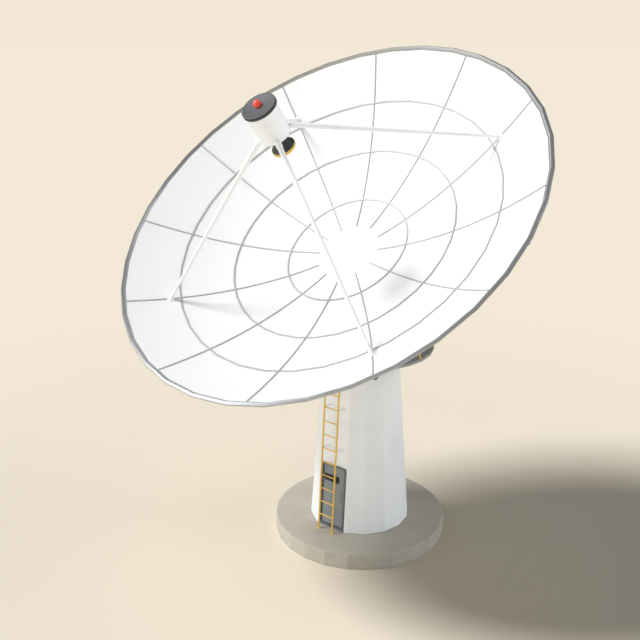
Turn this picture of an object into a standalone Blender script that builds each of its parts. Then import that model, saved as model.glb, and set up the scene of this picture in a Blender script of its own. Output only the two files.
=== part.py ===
"""Steerable radio telescope dish of the 12 m class on a tapered steel tower.

Metres, +Z up. The origin is the middle of the foundation's underside, and the
front, which the door, the ladder and the dish face, is -Y. The dish turns in
azimuth about Z and in elevation about the axle that crosses the tower's axis.
"""

import math

import bmesh
import bpy
import numpy as np
from mathutils import Matrix, Vector

# Foundation and tower
SLAB_RADIUS = 2.553
SLAB_HEIGHT = 0.48
SLAB_SIDES = 24
TOWER_SIDES = 16
TOWER_FOOT_RADIUS = 1.485
TOWER_TAPER = 0.0749
WALL = 0.03
DECK_UNDERSIDE = 5.82
DECK_TOP = 5.90
DECK_RADIUS = 2.07
DECK_SIDES = 24

# Doorway, measured along the leaning front of the tower
DOOR_FRAME_WIDTH = 0.90
DOOR_FRAME_HEIGHT = 1.99
DOOR_FRAME_BAR = 0.055
DOOR_FRAME_DEPTH = 0.10
DOOR_FRAME_PROUD = 0.03
DOOR_CORNER_RADIUS = 0.085
DOOR_SILL = 0.075
DOOR_LEAF_THICKNESS = 0.045
DOOR_CLEARANCE = 0.008
DOOR_HINGE_OUTSET = 0.012
DOOR_HINGE_INSET = 0.004
DOOR_HINGE_HEIGHTS = (0.35, 1.05, 1.75)
DOOR_HINGE_LENGTH = 0.06
DOOR_HINGE_WING = 0.045
DOOR_BARREL_RADIUS = 0.007
DOOR_WING_DEPTH = 0.006
DOOR_WING_STEP = 0.002
VENT_WIDTH = 0.56
VENT_HEIGHT = 0.21
VENT_MIDDLE = 1.54
VENT_ASIDE = -0.075
VENT_PROUD = 0.008
VENT_CORNER = 0.04
HANDLE_FROM_EDGE = 0.09
HANDLE_LOW = 0.98
HANDLE_HIGH = 1.16
HANDLE_HALF_WIDTH = 0.012
HANDLE_FRONT = 0.055
HANDLE_BACK = 0.035
HANDLE_FOOT_HEIGHTS = (1.0, 1.12)
HANDLE_FOOT_SIZE = 0.02

# Ladder and railing
LADDER_STANDOFF = 0.27
LADDER_WIDTH = 0.50
STRINGER_RADIUS = 0.026
RUNG_RADIUS = 0.018
BRACKET_RADIUS = 0.0144
RUNG_FIRST = 0.463
RUNG_STEP = 0.4165
RUNG_COUNT = 13
LADDER_ABOVE_DECK = 0.95
LADDER_BRACKET_HEIGHTS = (2.546, 3.795, 5.045)
HATCH_HALF_WIDTH = 0.36
HATCH_FRONT = -1.86
HATCH_BACK = -1.12
RAILING_RADIUS = 2.0
RAILING_HEIGHT = 1.0
RAILING_POSTS = 12
RAIL_RADIUS = 0.024
POST_RADIUS = 0.0216

# Azimuth head
BEARING_RADIUS = 0.92
BEARING_BORE = 0.60
BEARING_TOP = 6.08
SPIGOT_CLEARANCE = 0.007
SPIGOT_DEPTH = 0.10
TURNTABLE_RADIUS = 1.0
TURNTABLE_TOP = 6.22
YOKE_INNER = 0.80
YOKE_OUTER = 0.98
YOKE_FOOT_HALF = 0.42
YOKE_BOSS_RADIUS = 0.29
BEAM_HALF_DEPTH = 0.16
BEAM_HEIGHT = 0.28
DRIVE_RADIUS = 0.24
DRIVE_LENGTH = 0.20
AXLE_COVER_DEPTH = 0.06
AZIMUTH_DRIVE_AT = (0.0, 0.72)
AZIMUTH_GEARBOX = (0.17, 0.14)
AZIMUTH_MOTOR = (0.12, 0.30)
AZIMUTH_MOTOR_STEP = 0.02
ELEVATION_MOTOR_RADIUS = 0.09
ELEVATION_MOTOR_FORWARD = 0.10
ELEVATION_MOTOR_ENDS = (-0.05, -0.62)

# Elevation axle and the dish, whose own frame has z along the beam and y up the dish
PIVOT_HEIGHT = 7.905
REST_ELEVATION = 50.11
VERTEX_AHEAD = 1.028
FOCAL_LENGTH = 4.493
PANEL_RADIUS = 5.874
HUB_RADIUS = 0.89
RING_SEAMS = (1.765, 3.237, 4.612)
PANEL_COUNT = 12
DISH_SIDES = 36
PANEL_THICKNESS = 0.04
HOOP_TUBE = 0.068
HOOP_FLATNESS = 0.7
HOOP_DROP = 0.015
HOOP_SIDES = 8
DRUM_RADIUS = 0.80
DRUM_FLANGE_RADIUS = 0.55
DRUM_BACK = 0.42
DRUM_WALL = 0.04
JOURNAL_RADIUS = 0.112
JOURNAL_CLEARANCE = 0.006
AXLE_RADIUS = 0.17
CHEEK_INNER = 0.58
CHEEK_OUTER = 0.66
CHEEK_BACK = -1.15
CHEEK_WAIST = -0.25
CHEEK_HALVES = (0.50, 0.28, 0.20)
COLLAR_RADIUS = 0.16
JOURNAL_ROOT = 0.04
JOURNAL_END = 0.005
AXLE_ROOT = 0.02
COUNTERWEIGHT_BACK = -1.27
COUNTERWEIGHT_FRONT = -0.72
COUNTERWEIGHT_HALF = 0.34

# Back frame of tubular ribs
RIB_COUNT = 8
RIB_TUBE_RADIUS = 0.068
CHORD_RADIUS = 0.045
BRACE_RADIUS = 0.032
RIB_END_RADIUS = 5.84
CHORD_HUB_Z = 0.60
CHORD_END_RADIUS = 3.2
BRACE_FEET = (1.15, 1.75, 2.40)
BRACE_HEADS = (1.45, 2.05, 2.80)
BAND_ENDS = (0.50, 0.90)
BAND_THICKNESS = 0.06
RIB_ROOT = 0.03
RIB_SHORT_OF_RIM = 0.06
HOOP_RADII = (2.05, 4.10)
HOOP_TUBE_RADIUS = 0.04

# Receiver at the focus, heights along the beam from the vertex
STRUT_FOOT_DISTANCE = 4.85
STRUT_FOOT_RADIUS = 0.042
STRUT_HEAD_RADIUS = 0.066
STRUT_PAD_RADIUS = 0.115
STRUT_PAD_THICKNESS = 0.03
STRUT_ROOT = 0.022
STRUT_CUT_MARGIN = 0.3
STRUT_HEAD_DISTANCE = 0.357
STRUT_HEAD_HEIGHT = 4.544
CABIN_SIDES = 24
CABIN_TURN = 7.5
CABIN_RADIUS = 0.40
CABIN_BOTTOM = 4.44
CABIN_TOP = 5.264
CAP_RADIUS = 0.44
CAP_TOP = 5.356
CAP_EDGE = 0.008
BEACON_RADIUS = 0.094
BEACON_STAND = 0.062
BEACON_STEPS = 5
HORN_MOUTH_HEIGHT = 4.06
HORN_MOUTH_RADIUS = 0.302
HORN_THROAT_RADIUS = 0.13
HORN_WALL = 0.02
HORN_RING_DEPTH = 0.078
HORN_RING_PROUD = 0.004
HORN_FLANGE_RADIUS = 0.16
HORN_FLANGE_THICKNESS = 0.06

GAP = 0.0003
COLOURS = {
    "concrete": (0.47, 0.44, 0.38, 0.9, 0.0),
    "white_paint": (0.84, 0.84, 0.82, 0.45, 0.0),
    "door_grey": (0.20, 0.23, 0.24, 0.5, 0.3),
    "frame_grey": (0.10, 0.12, 0.13, 0.5, 0.3),
    "vent_black": (0.03, 0.035, 0.04, 0.6, 0.2),
    "safety_yellow": (0.71, 0.38, 0.05, 0.45, 0.1),
    "deck_grey": (0.18, 0.22, 0.25, 0.6, 0.4),
    "machine_grey": (0.22, 0.25, 0.27, 0.45, 0.5),
    "dish_white": (0.88, 0.88, 0.87, 0.4, 0.0),
    "rim_grey": (0.25, 0.29, 0.31, 0.45, 0.4),
    "steel_dark": (0.12, 0.13, 0.14, 0.45, 0.5),
    "horn_grey": (0.06, 0.07, 0.08, 0.4, 0.6),
    "horn_yellow": (0.75, 0.50, 0.05, 0.4, 0.2),
    "cap_grey": (0.12, 0.12, 0.13, 0.55, 0.1),
    "beacon_red": (0.88, 0.10, 0.06, 0.25, 0.0),
}


# Shapes are pairs of points and faces until they become objects

def tower_radius(z):
    return TOWER_FOOT_RADIUS - TOWER_TAPER * (z - SLAB_HEIGHT)


def prism(outline, low, high, axis="Z"):
    """An outline of (u, v) pairs carried from low to high along the axis."""
    places = {"Z": (0, 1, 2), "X": (1, 2, 0), "Y": (0, 2, 1)}[axis]
    points = np.zeros((2 * len(outline), 3))
    for layer, height in enumerate((low, high)):
        rows = slice(layer * len(outline), (layer + 1) * len(outline))
        points[rows, places[0]] = [u for u, v in outline]
        points[rows, places[1]] = [v for u, v in outline]
        points[rows, places[2]] = height
    count = len(outline)
    faces = [tuple(range(count)), tuple(range(count, 2 * count))]
    faces += [(i, (i + 1) % count, (i + 1) % count + count, i + count) for i in range(count)]
    return points, faces


def box(low, high):
    outline = [(low[0], low[1]), (high[0], low[1]), (high[0], high[1]), (low[0], high[1])]
    return prism(outline, low[2], high[2])


def polygon(radius, sides, turn=0.0):
    """Corner points of a regular polygon, whose first corner is at turn degrees."""
    steps = [math.radians(turn + 360.0 * i / sides) for i in range(sides)]
    return [(radius * math.cos(a), radius * math.sin(a)) for a in steps]


def turned(profile, sides, closed=False, turn=0.0):
    """A profile of (radius, z) about Z; an open profile starts and ends on the axis."""
    points = []
    rings = []
    for radius, z in profile:
        if radius == 0.0:
            rings.append([len(points)])
            points.append((0.0, 0.0, z))
            continue
        rings.append(list(range(len(points), len(points) + sides)))
        points += [(x, y, z) for x, y in polygon(radius, sides, turn)]
    faces = []
    pairs = list(zip(rings, rings[1:])) + ([(rings[-1], rings[0])] if closed else [])
    for a, b in pairs:
        for i in range(sides):
            j = (i + 1) % sides
            corners = [a[i % len(a)], a[j % len(a)], b[j % len(b)], b[i % len(b)]]
            faces.append(tuple(dict.fromkeys(corners)))
    return np.array(points), faces


def rod(start, end, radius, sides=8, end_radius=None):
    """A straight bar with flat ends, tapered when an end radius is given."""
    start, end = Vector(start), Vector(end)
    along = (end - start).normalized()
    turn = along.to_track_quat("Z", "Y").to_matrix()
    rings = []
    for centre, size in ((start, radius), (end, radius if end_radius is None else end_radius)):
        rings += [centre + turn @ Vector((x, y, 0)) for x, y in polygon(size, sides, 180.0 / sides)]
    faces = [tuple(range(sides)), tuple(range(sides, 2 * sides))]
    faces += [(i, (i + 1) % sides, (i + 1) % sides + sides, i + sides) for i in range(sides)]
    return np.array(rings), faces


def bent_tube(path, radius, sides, side_way, closed=False):
    """A tube along points, its cross-section set by one direction that stays across the path."""
    path = [Vector(p) for p in path]
    count = len(path)
    points = []
    for i, place in enumerate(path):
        before = path[(i - 1) % count] if closed or i else place
        after = path[(i + 1) % count] if closed or i < count - 1 else place
        along = (after - before).normalized()
        across = Vector(side_way(place)).normalized()
        other = along.cross(across).normalized()
        across = other.cross(along).normalized()
        # A mitred corner is wider across the bend, so that the tube keeps its width
        bend = 1.0
        if closed or 0 < i < count - 1:
            bend = 1.0 / math.cos((place - before).angle(after - place) / 2)
        for u, v in polygon(radius, sides, 180.0 / sides):
            points.append(place + across * u + other * v * bend)
    faces = []
    for i in range(count if closed else count - 1):
        a, b = i * sides, (i + 1) % count * sides
        faces += [(a + k, a + (k + 1) % sides, b + (k + 1) % sides, b + k) for k in range(sides)]
    if not closed:
        faces += [tuple(range(sides)), tuple(range((count - 1) * sides, count * sides))]
    return np.array(points), faces


def thick_sheet(front, back, quads):
    """Two matching point lists joined round the free edges of the quads between them."""
    count = len(front)
    faces = list(quads) + [tuple(i + count for i in reversed(q)) for q in quads]
    edges = {}
    for quad in quads:
        for a, b in zip(quad, quad[1:] + quad[:1]):
            edges[(a, b)] = (b, a) not in edges
            if not edges[(a, b)]:
                edges[(b, a)] = False
    faces += [(a, b, b + count, a + count) for (a, b), free in edges.items() if free]
    return np.vstack([front, back]), faces


def moved(shape, matrix):
    points, faces = shape
    return np.array([matrix @ Vector(p) for p in points]), faces


def make_material(name):
    red, green, blue, roughness, metallic = COLOURS[name]
    material = bpy.data.materials.new(name)
    material.use_nodes = True
    shader = material.node_tree.nodes["Principled BSDF"]
    shader.inputs["Base Color"].default_value = (red, green, blue, 1.0)
    shader.inputs["Roughness"].default_value = roughness
    shader.inputs["Metallic"].default_value = metallic
    return material


def make_object(name, shape, parent, collection):
    points, faces = shape
    mesh = bpy.data.meshes.new(name)
    mesh.from_pydata([tuple(p) for p in points], [], faces)
    work = bmesh.new()
    work.from_mesh(mesh)
    bmesh.ops.recalc_face_normals(work, faces=work.faces)
    work.to_mesh(mesh)
    work.free()
    made = bpy.data.objects.new(name, mesh)
    made.parent = parent
    collection.objects.link(made)
    return made


def node(name, shapes, material, parent=None, cuts=(), smooth=True):
    """One named solid: its first shape, cut by the cuts and then joined with the others."""
    made = make_object(name, shapes[0], parent, bpy.context.scene.collection)
    made.data.materials.append(MATERIALS[material])
    if smooth:
        made.data.shade_smooth()
        made.data.set_sharp_from_angle(angle=math.radians(28))
    for operation, others in (("DIFFERENCE", cuts), ("UNION", shapes[1:])):
        if not others:
            continue
        tools = bpy.data.collections.new(f"{name}_{operation.lower()}")
        bpy.context.scene.collection.children.link(tools)
        tools.hide_render = True
        for index, shape in enumerate(others):
            tool = make_object(f"{name}_{operation.lower()}_{index:02d}", shape, parent, tools)
            tool.hide_render = True
            tool.display_type = "WIRE"
        boolean = made.modifiers.new(operation.title(), "BOOLEAN")
        boolean.operation = operation
        boolean.operand_type = "COLLECTION"
        boolean.collection = tools
        boolean.solver = "EXACT"
    return made


def empty(name, location, turn=0.0, parent=None):
    """A frame turned about X by an angle in degrees."""
    made = bpy.data.objects.new(name, None)
    made.location = location
    made.rotation_euler = (math.radians(turn), 0.0, 0.0)
    made.parent = parent
    bpy.context.scene.collection.objects.link(made)
    return made


# Foundation, tower and deck

def tower_corner(turn, z, inward=0.0, slip=0.0):
    """A point on the tower's corner line, turn degrees from the front towards +X."""
    radius = tower_radius(z) - inward
    angle = math.radians(turn)
    return (
        radius * math.sin(angle) + slip * math.cos(angle),
        -radius * math.cos(angle) + slip * math.sin(angle),
        z,
    )


def wall_segment(name, turns, low, high, strip_sides=()):
    """Flat facets between corner lines; a strip beside the doorway can join the first or last line."""
    inward = WALL / math.cos(math.pi / TOWER_SIDES)
    door_top = SLAB_HEIGHT + DOOR_FRAME_HEIGHT + GAP
    rows = [low, door_top, high] if strip_sides else [low, high]
    front, back, quads = [], [], []
    slips = [GAP / 2] + [0.0] * (len(turns) - 2) + [-GAP / 2]
    for turn, slip in zip(turns, slips):
        for z in rows:
            front.append(tower_corner(turn, z, 0.0, slip))
            back.append(tower_corner(turn, z, inward, slip))
    height = len(rows)
    for column in range(len(turns) - 1):
        for row in range(height - 1):
            a = column * height + row
            quads.append((a, a + height, a + height + 1, a + 1))
    for side in strip_sides:
        x = side * (DOOR_FRAME_WIDTH / 2 + GAP)
        start = len(front)
        for z in rows[:2]:
            flat = tower_radius(z) * math.cos(math.radians(FRONT_HALF_TURN))
            front.append((x, -flat, z))
            back.append((x, -flat + WALL, z))
        edge = 0 if side > 0 else (len(turns) - 1) * height
        quad = (start, edge, edge + 1, start + 1)
        quads.append(quad if side > 0 else quad[::-1])
    node(name, [thick_sheet(np.array(front), np.array(back), quads)], "white_paint")


def build_foundation():
    node("foundation_slab", [prism(polygon(SLAB_RADIUS, SLAB_SIDES), 0.0, SLAB_HEIGHT)], "concrete")


def build_tower():
    low = SLAB_HEIGHT + GAP
    high = DECK_UNDERSIDE - GAP
    step = 360.0 / TOWER_SIDES
    starts = {
        "wall_front_right": 1, "wall_right": 3, "wall_back_right": 5, "wall_back": 7,
        "wall_back_left": 9, "wall_left": 11, "wall_front_left": 13,
    }
    for name, start in starts.items():
        strips = {"wall_front_right": (1,), "wall_front_left": (-1,)}.get(name, ())
        wall_segment(name, [step * (start + i) for i in range(3)], low, high, strips)
    door_top = SLAB_HEIGHT + DOOR_FRAME_HEIGHT + GAP
    wall_segment("wall_over_door", [-FRONT_HALF_TURN, FRONT_HALF_TURN], door_top, high)


def build_deck():
    disc = prism(polygon(DECK_RADIUS, DECK_SIDES), DECK_UNDERSIDE, DECK_TOP)
    hatch = box(
        (-HATCH_HALF_WIDTH, HATCH_FRONT, DECK_UNDERSIDE - 0.1),
        (HATCH_HALF_WIDTH, HATCH_BACK, DECK_TOP + 0.1),
    )
    node("platform_deck", [disc], "deck_grey", cuts=[hatch])


def build_railing():
    shapes = []
    for height in (RAILING_HEIGHT, RAILING_HEIGHT / 2):
        path = [(x, y, DECK_TOP + height) for x, y in polygon(RAILING_RADIUS, DECK_SIDES)]
        shapes.append(bent_tube(path, RAIL_RADIUS, 6, lambda place: (0, 0, 1), closed=True))
    for x, y in polygon(RAILING_RADIUS, RAILING_POSTS):
        top = DECK_TOP + RAILING_HEIGHT
        shapes.append(rod((x, y, DECK_TOP + GAP), (x, y, top), POST_RADIUS, 8))
    node("platform_railing", shapes, "safety_yellow")


def level_foot(shape):
    """Moves a shape's points at zero height onto the slab, which the leaning front crosses at a slant."""
    points, faces = shape
    lean = math.radians(FRONT_LEAN)
    low = np.abs(points[:, 2]) < GAP / 2
    points[low, 2] = points[low, 1] * math.tan(lean) + GAP / math.cos(lean)
    return points, faces


def build_ladder(front):
    half = LADDER_WIDTH / 2
    top = (DECK_TOP + LADDER_ABOVE_DECK - SLAB_HEIGHT) / math.cos(math.radians(FRONT_LEAN))
    shapes = []
    for side in (-1, 1):
        x = side * half
        stringer = rod((x, -LADDER_STANDOFF, 0), (x, -LADDER_STANDOFF, top), STRINGER_RADIUS)
        shapes.append(level_foot(stringer))
        for height in LADDER_BRACKET_HEIGHTS:
            shapes.append(rod((x, -LADDER_STANDOFF, height), (x, -GAP, height), BRACKET_RADIUS, 6))
    for index in range(RUNG_COUNT):
        height = RUNG_FIRST + RUNG_STEP * index
        ends = [(side * half, -LADDER_STANDOFF, height) for side in (-1, 1)]
        shapes.append(rod(ends[0], ends[1], RUNG_RADIUS, 6))
    node("ladder", shapes, "safety_yellow", front)


def rounded_door(half, low, high, radius):
    """An upright outline with square feet and round top corners."""
    outline = [(-half, low), (half, low)]
    steps = 4
    for centre, start in ((half - radius, 0), (-half + radius, 90)):
        for i in range(steps + 1):
            angle = math.radians(start + 90.0 * i / steps)
            outline.append((centre + radius * math.cos(angle), high - radius + radius * math.sin(angle)))
    return outline


def hinge_halves(side, face):
    """Barrels with wings onto a face; the leaf's halves (side 1) rest on the frame's (side -1)."""
    x, y = HINGE_PLACE[:2]
    shapes = []
    for height in DOOR_HINGE_HEIGHTS:
        low = height if side > 0 else height - DOOR_HINGE_LENGTH
        high = height + DOOR_HINGE_LENGTH if side > 0 else height - GAP
        shapes.append(rod((x, y, low), (x, y, high), DOOR_BARREL_RADIUS))
        ends = sorted((x, x + side * DOOR_HINGE_WING))
        wing = max(face + DOOR_WING_DEPTH, y - DOOR_BARREL_RADIUS / 2)
        shapes.append(
            box((ends[0], face, low + DOOR_WING_STEP), (ends[1], wing, high - DOOR_WING_STEP))
        )
    return shapes


def build_door(front, hinge):
    half = DOOR_FRAME_WIDTH / 2
    inner = half - DOOR_FRAME_BAR
    high = DOOR_FRAME_HEIGHT - GAP
    outer_face = -DOOR_FRAME_PROUD
    inner_face = outer_face + DOOR_FRAME_DEPTH
    frame = prism(rounded_door(half - GAP, 0.0, high, DOOR_CORNER_RADIUS), outer_face, inner_face, "Y")
    frame = level_foot(frame)
    hole = prism(
        rounded_door(inner, DOOR_SILL, high - DOOR_FRAME_BAR, DOOR_CORNER_RADIUS - DOOR_FRAME_BAR / 2),
        outer_face - 0.1, inner_face + 0.1, "Y",
    )
    knuckles = hinge_halves(-1, inner_face - 0.001)
    node("door_frame", [frame] + knuckles, "frame_grey", front, cuts=[hole])

    leaf_half = inner - DOOR_CLEARANCE
    leaf_low = DOOR_SILL + DOOR_CLEARANCE
    leaf_high = high - DOOR_FRAME_BAR - DOOR_CLEARANCE
    # The hinge frame's origin is on the axis, beside the leaf's inner face
    shift = Matrix.Translation(-Vector(HINGE_PLACE))
    leaf_back = inner_face - 0.01
    leaf_front = leaf_back - DOOR_LEAF_THICKNESS
    leaf = prism(
        rounded_door(leaf_half, leaf_low, leaf_high, DOOR_CORNER_RADIUS - DOOR_FRAME_BAR / 2),
        leaf_front, leaf_back, "Y",
    )
    leaf_shapes = [leaf] + hinge_halves(1, leaf_back - 0.001)
    node("door_leaf", [moved(s, shift) for s in leaf_shapes], "door_grey", hinge)
    vent = rounded_door(VENT_WIDTH / 2, -VENT_HEIGHT / 2, VENT_HEIGHT / 2, VENT_CORNER)
    vent = [(u + VENT_ASIDE, v + VENT_MIDDLE) for u, v in vent]
    panel = prism(vent, leaf_front - VENT_PROUD, leaf_front - GAP, "Y")
    node("door_vent", [moved(panel, shift)], "vent_black", hinge)
    grip_x = leaf_half - HANDLE_FROM_EDGE
    grip = box(
        (grip_x - HANDLE_HALF_WIDTH, leaf_front - HANDLE_FRONT, HANDLE_LOW),
        (grip_x + HANDLE_HALF_WIDTH, leaf_front - HANDLE_BACK, HANDLE_HIGH),
    )
    foot = HANDLE_FOOT_SIZE / 2
    feet = [
        box(
            (grip_x - foot, leaf_front - (HANDLE_FRONT + HANDLE_BACK) / 2, z),
            (grip_x + foot, leaf_front - GAP, z + HANDLE_FOOT_SIZE),
        )
        for z in HANDLE_FOOT_HEIGHTS
    ]
    node("door_handle", [moved(s, shift) for s in [grip] + feet], "frame_grey", hinge)


# Azimuth head

def build_azimuth_head(head):
    sides = DISH_SIDES
    base = [
        (BEARING_BORE, DECK_TOP + GAP), (BEARING_RADIUS, DECK_TOP + GAP),
        (BEARING_RADIUS, BEARING_TOP), (BEARING_BORE, BEARING_TOP),
    ]
    node("azimuth_bearing", [turned(base, sides, closed=True)], "machine_grey")
    spigot = BEARING_BORE - SPIGOT_CLEARANCE
    low = BEARING_TOP + GAP
    table = [
        (0.0, low - SPIGOT_DEPTH), (spigot, low - SPIGOT_DEPTH), (spigot, low),
        (TURNTABLE_RADIUS, low), (TURNTABLE_RADIUS, TURNTABLE_TOP), (0.0, TURNTABLE_TOP),
    ]
    node("azimuth_turntable", [turned(table, sides)], "machine_grey", head)
    build_yoke_arms(head)
    foot = TURNTABLE_TOP + GAP
    beam = box(
        (-YOKE_INNER + GAP, -BEAM_HALF_DEPTH, foot), (YOKE_INNER - GAP, BEAM_HALF_DEPTH, foot + BEAM_HEIGHT)
    )
    node("yoke_cross_beam", [beam], "white_paint", head)
    radius, height = AZIMUTH_GEARBOX
    motor_radius, motor_height = AZIMUTH_MOTOR
    gearbox_top = foot + height
    motor_foot = gearbox_top + AZIMUTH_MOTOR_STEP
    drive = [
        (0.0, foot), (radius, foot), (radius, gearbox_top),
        (motor_radius, motor_foot), (motor_radius, motor_foot + motor_height),
        (0.0, motor_foot + motor_height),
    ]
    place = Matrix.Translation((*AZIMUTH_DRIVE_AT, 0))
    node("azimuth_drive", [moved(turned(drive, 16), place)], "steel_dark", head)


def yoke_outline():
    """Straight tapered legs that run into a round boss about the axle."""
    outline = [(-YOKE_FOOT_HALF, TURNTABLE_TOP + GAP), (YOKE_FOOT_HALF, TURNTABLE_TOP + GAP)]
    for i in range(11):
        angle = math.radians(-10 + 20 * i)
        outline.append(
            (YOKE_BOSS_RADIUS * math.cos(angle), PIVOT_HEIGHT + YOKE_BOSS_RADIUS * math.sin(angle))
        )
    return outline


def build_yoke_arms(head):
    hole = polygon(JOURNAL_RADIUS + JOURNAL_CLEARANCE, 24)
    hole = [(y, z + PIVOT_HEIGHT) for y, z in hole]
    for side, name in ((-1, "left"), (1, "right")):
        ends = sorted((side * YOKE_INNER, side * YOKE_OUTER))
        plate = prism(yoke_outline(), ends[0], ends[1], "X")
        cut = prism(hole, ends[0] - 0.1, ends[1] + 0.1, "X")
        node(f"yoke_arm_{name}", [plate], "white_paint", head, cuts=[cut])
    face = YOKE_OUTER + GAP
    cover = prism(polygon(DRIVE_RADIUS, 24), face, face + AXLE_COVER_DEPTH, "X")
    to_axle = Matrix.Translation((0, 0, PIVOT_HEIGHT))
    node("axle_cover", [moved(cover, to_axle)], "steel_dark", head)
    gearbox = prism(polygon(DRIVE_RADIUS, 24), -face - DRIVE_LENGTH, -face, "X")
    middle = -face - DRIVE_LENGTH / 2
    ends = [(middle, ELEVATION_MOTOR_FORWARD, z) for z in ELEVATION_MOTOR_ENDS]
    motor = rod(ends[0], ends[1], ELEVATION_MOTOR_RADIUS, 12)
    node("elevation_drive", [moved(s, to_axle) for s in (gearbox, motor)], "steel_dark", head)


# Dish, in its own frame

def dish_height(radius):
    return VERTEX_AHEAD + radius * radius / (4 * FOCAL_LENGTH)


def dish_point(radius, turn, depth=0.0):
    """A point on the dish's surface or a depth behind it, on the polygon with corners every ten degrees."""
    step = 360.0 / DISH_SIDES
    low = math.floor(turn / step) * step
    share = (turn - low) / step
    slope = radius / (2 * FOCAL_LENGTH)
    length = math.hypot(slope, 1.0)
    out = radius + depth * slope / length
    z = dish_height(radius) - depth / length
    ends = [(math.cos(math.radians(a)), math.sin(math.radians(a))) for a in (low, low + step)]
    x = out * (ends[0][0] * (1 - share) + ends[1][0] * share)
    y = out * (ends[0][1] * (1 - share) + ends[1][1] * share)
    return Vector((x, y, z))


def ring_rows():
    """Radii of the panel rows: the ring seams, each span halved."""
    seams = (HUB_RADIUS,) + RING_SEAMS + (PANEL_RADIUS,)
    rows = []
    for a, b in zip(seams, seams[1:]):
        rows += [a, (a + b) / 2]
    return rows + [PANEL_RADIUS]


def build_panels(dish):
    turns = (-15, -10, 0, 10, 15)
    rows = ring_rows()
    for index in range(PANEL_COUNT):
        middle = 30 * index
        front, back, quads = [], [], []
        for turn in turns:
            slip = {-15: GAP / 2, 15: -GAP / 2}.get(turn, 0.0)
            angle = math.radians(middle + turn)
            shift = Vector((-math.sin(angle), math.cos(angle), 0)) * slip
            for radius in rows:
                front.append(dish_point(radius, middle + turn) + shift)
                back.append(dish_point(radius, middle + turn, PANEL_THICKNESS) + shift)
        height = len(rows)
        for column in range(len(turns) - 1):
            for row in range(height - 1):
                a = column * height + row
                quads.append((a, a + 1, a + height + 1, a + height))
        shape = thick_sheet(np.array(front), np.array(back), quads)
        node(f"dish_panel_{index + 1:02d}", [shape], "dish_white", dish)
    edge = HUB_RADIUS - GAP
    rim_front = dish_height(edge)
    slope = edge / (2 * FOCAL_LENGTH)
    length = math.hypot(slope, 1.0)
    profile = [
        (0.0, VERTEX_AHEAD - PANEL_THICKNESS),
        (edge, rim_front - PANEL_THICKNESS / length),
        (edge, rim_front),
        (0.0, VERTEX_AHEAD),
    ]
    node("vertex_plate", [turned(profile, DISH_SIDES)], "dish_white", dish)


def build_rim_hoop(dish):
    """An eight-sided, flattened tube beyond the panels' edge, with one flat against that edge."""
    slope = PANEL_RADIUS / (2 * FOCAL_LENGTH)
    length = math.hypot(slope, 1.0)
    out = Vector((1.0 / length, slope / length))
    up = Vector((-slope / length, 1.0 / length))
    edge = Vector((PANEL_RADIUS, dish_height(PANEL_RADIUS)))
    centre = edge + out * (HOOP_TUBE + 2 * GAP) - up * HOOP_DROP
    corner = HOOP_TUBE / math.cos(math.pi / HOOP_SIDES)
    profile = [
        tuple(centre + out * u + up * HOOP_FLATNESS * v)
        for u, v in polygon(corner, HOOP_SIDES, 180.0 / HOOP_SIDES)
    ]
    node("rim_hoop", [turned(profile, DISH_SIDES, closed=True)], "rim_grey", dish)


def build_hub(dish):
    slope = HUB_RADIUS / (2 * FOCAL_LENGTH)
    length = math.hypot(slope, 1.0)
    centre = VERTEX_AHEAD - PANEL_THICKNESS - 2 * GAP
    edge_rise = dish_height(HUB_RADIUS - GAP) - PANEL_THICKNESS / length - (VERTEX_AHEAD - PANEL_THICKNESS)
    rise = edge_rise * DRUM_RADIUS / HUB_RADIUS
    inner = DRUM_RADIUS - DRUM_WALL
    profile = [
        (0.0, centre), (DRUM_RADIUS, centre + rise), (DRUM_RADIUS, DRUM_BACK),
        (DRUM_FLANGE_RADIUS, DRUM_BACK), (DRUM_FLANGE_RADIUS, DRUM_BACK + DRUM_WALL),
        (inner, DRUM_BACK + DRUM_WALL), (inner, centre - DRUM_WALL), (0.0, centre - DRUM_WALL),
    ]
    node("hub_drum", [turned(profile, DISH_SIDES)], "machine_grey", dish)

    top, waist, tail = CHEEK_HALVES
    outline = [
        (-top, DRUM_BACK - GAP), (-waist, CHEEK_WAIST), (-tail, CHEEK_BACK),
        (tail, CHEEK_BACK), (waist, CHEEK_WAIST), (top, DRUM_BACK - GAP),
    ]
    cheeks = [prism(outline, *sorted((s * CHEEK_INNER, s * CHEEK_OUTER)), "X") for s in (-1, 1)]
    tube = prism(polygon(AXLE_RADIUS, 24), -CHEEK_OUTER + AXLE_ROOT, CHEEK_OUTER - AXLE_ROOT, "X")
    collar = YOKE_INNER - GAP
    collars = [
        prism(polygon(COLLAR_RADIUS, 24), *sorted((s * (CHEEK_OUTER - AXLE_ROOT), s * collar)), "X")
        for s in (-1, 1)
    ]
    journals = [
        prism(
            polygon(JOURNAL_RADIUS, 24),
            *sorted((s * (collar - JOURNAL_ROOT), s * (YOKE_OUTER - JOURNAL_END))), "X",
        )
        for s in (-1, 1)
    ]
    node("elevation_cradle", cheeks[:1] + [tube] + cheeks[1:] + collars + journals, "machine_grey", dish)
    half = CHEEK_INNER - GAP
    block = prism(
        [(-COUNTERWEIGHT_HALF, COUNTERWEIGHT_BACK), (COUNTERWEIGHT_HALF, COUNTERWEIGHT_BACK),
         (COUNTERWEIGHT_HALF, COUNTERWEIGHT_FRONT), (-COUNTERWEIGHT_HALF, COUNTERWEIGHT_FRONT)],
        -half, half, "X",
    )
    node("counterweight", [block], "steel_dark", dish)


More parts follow.
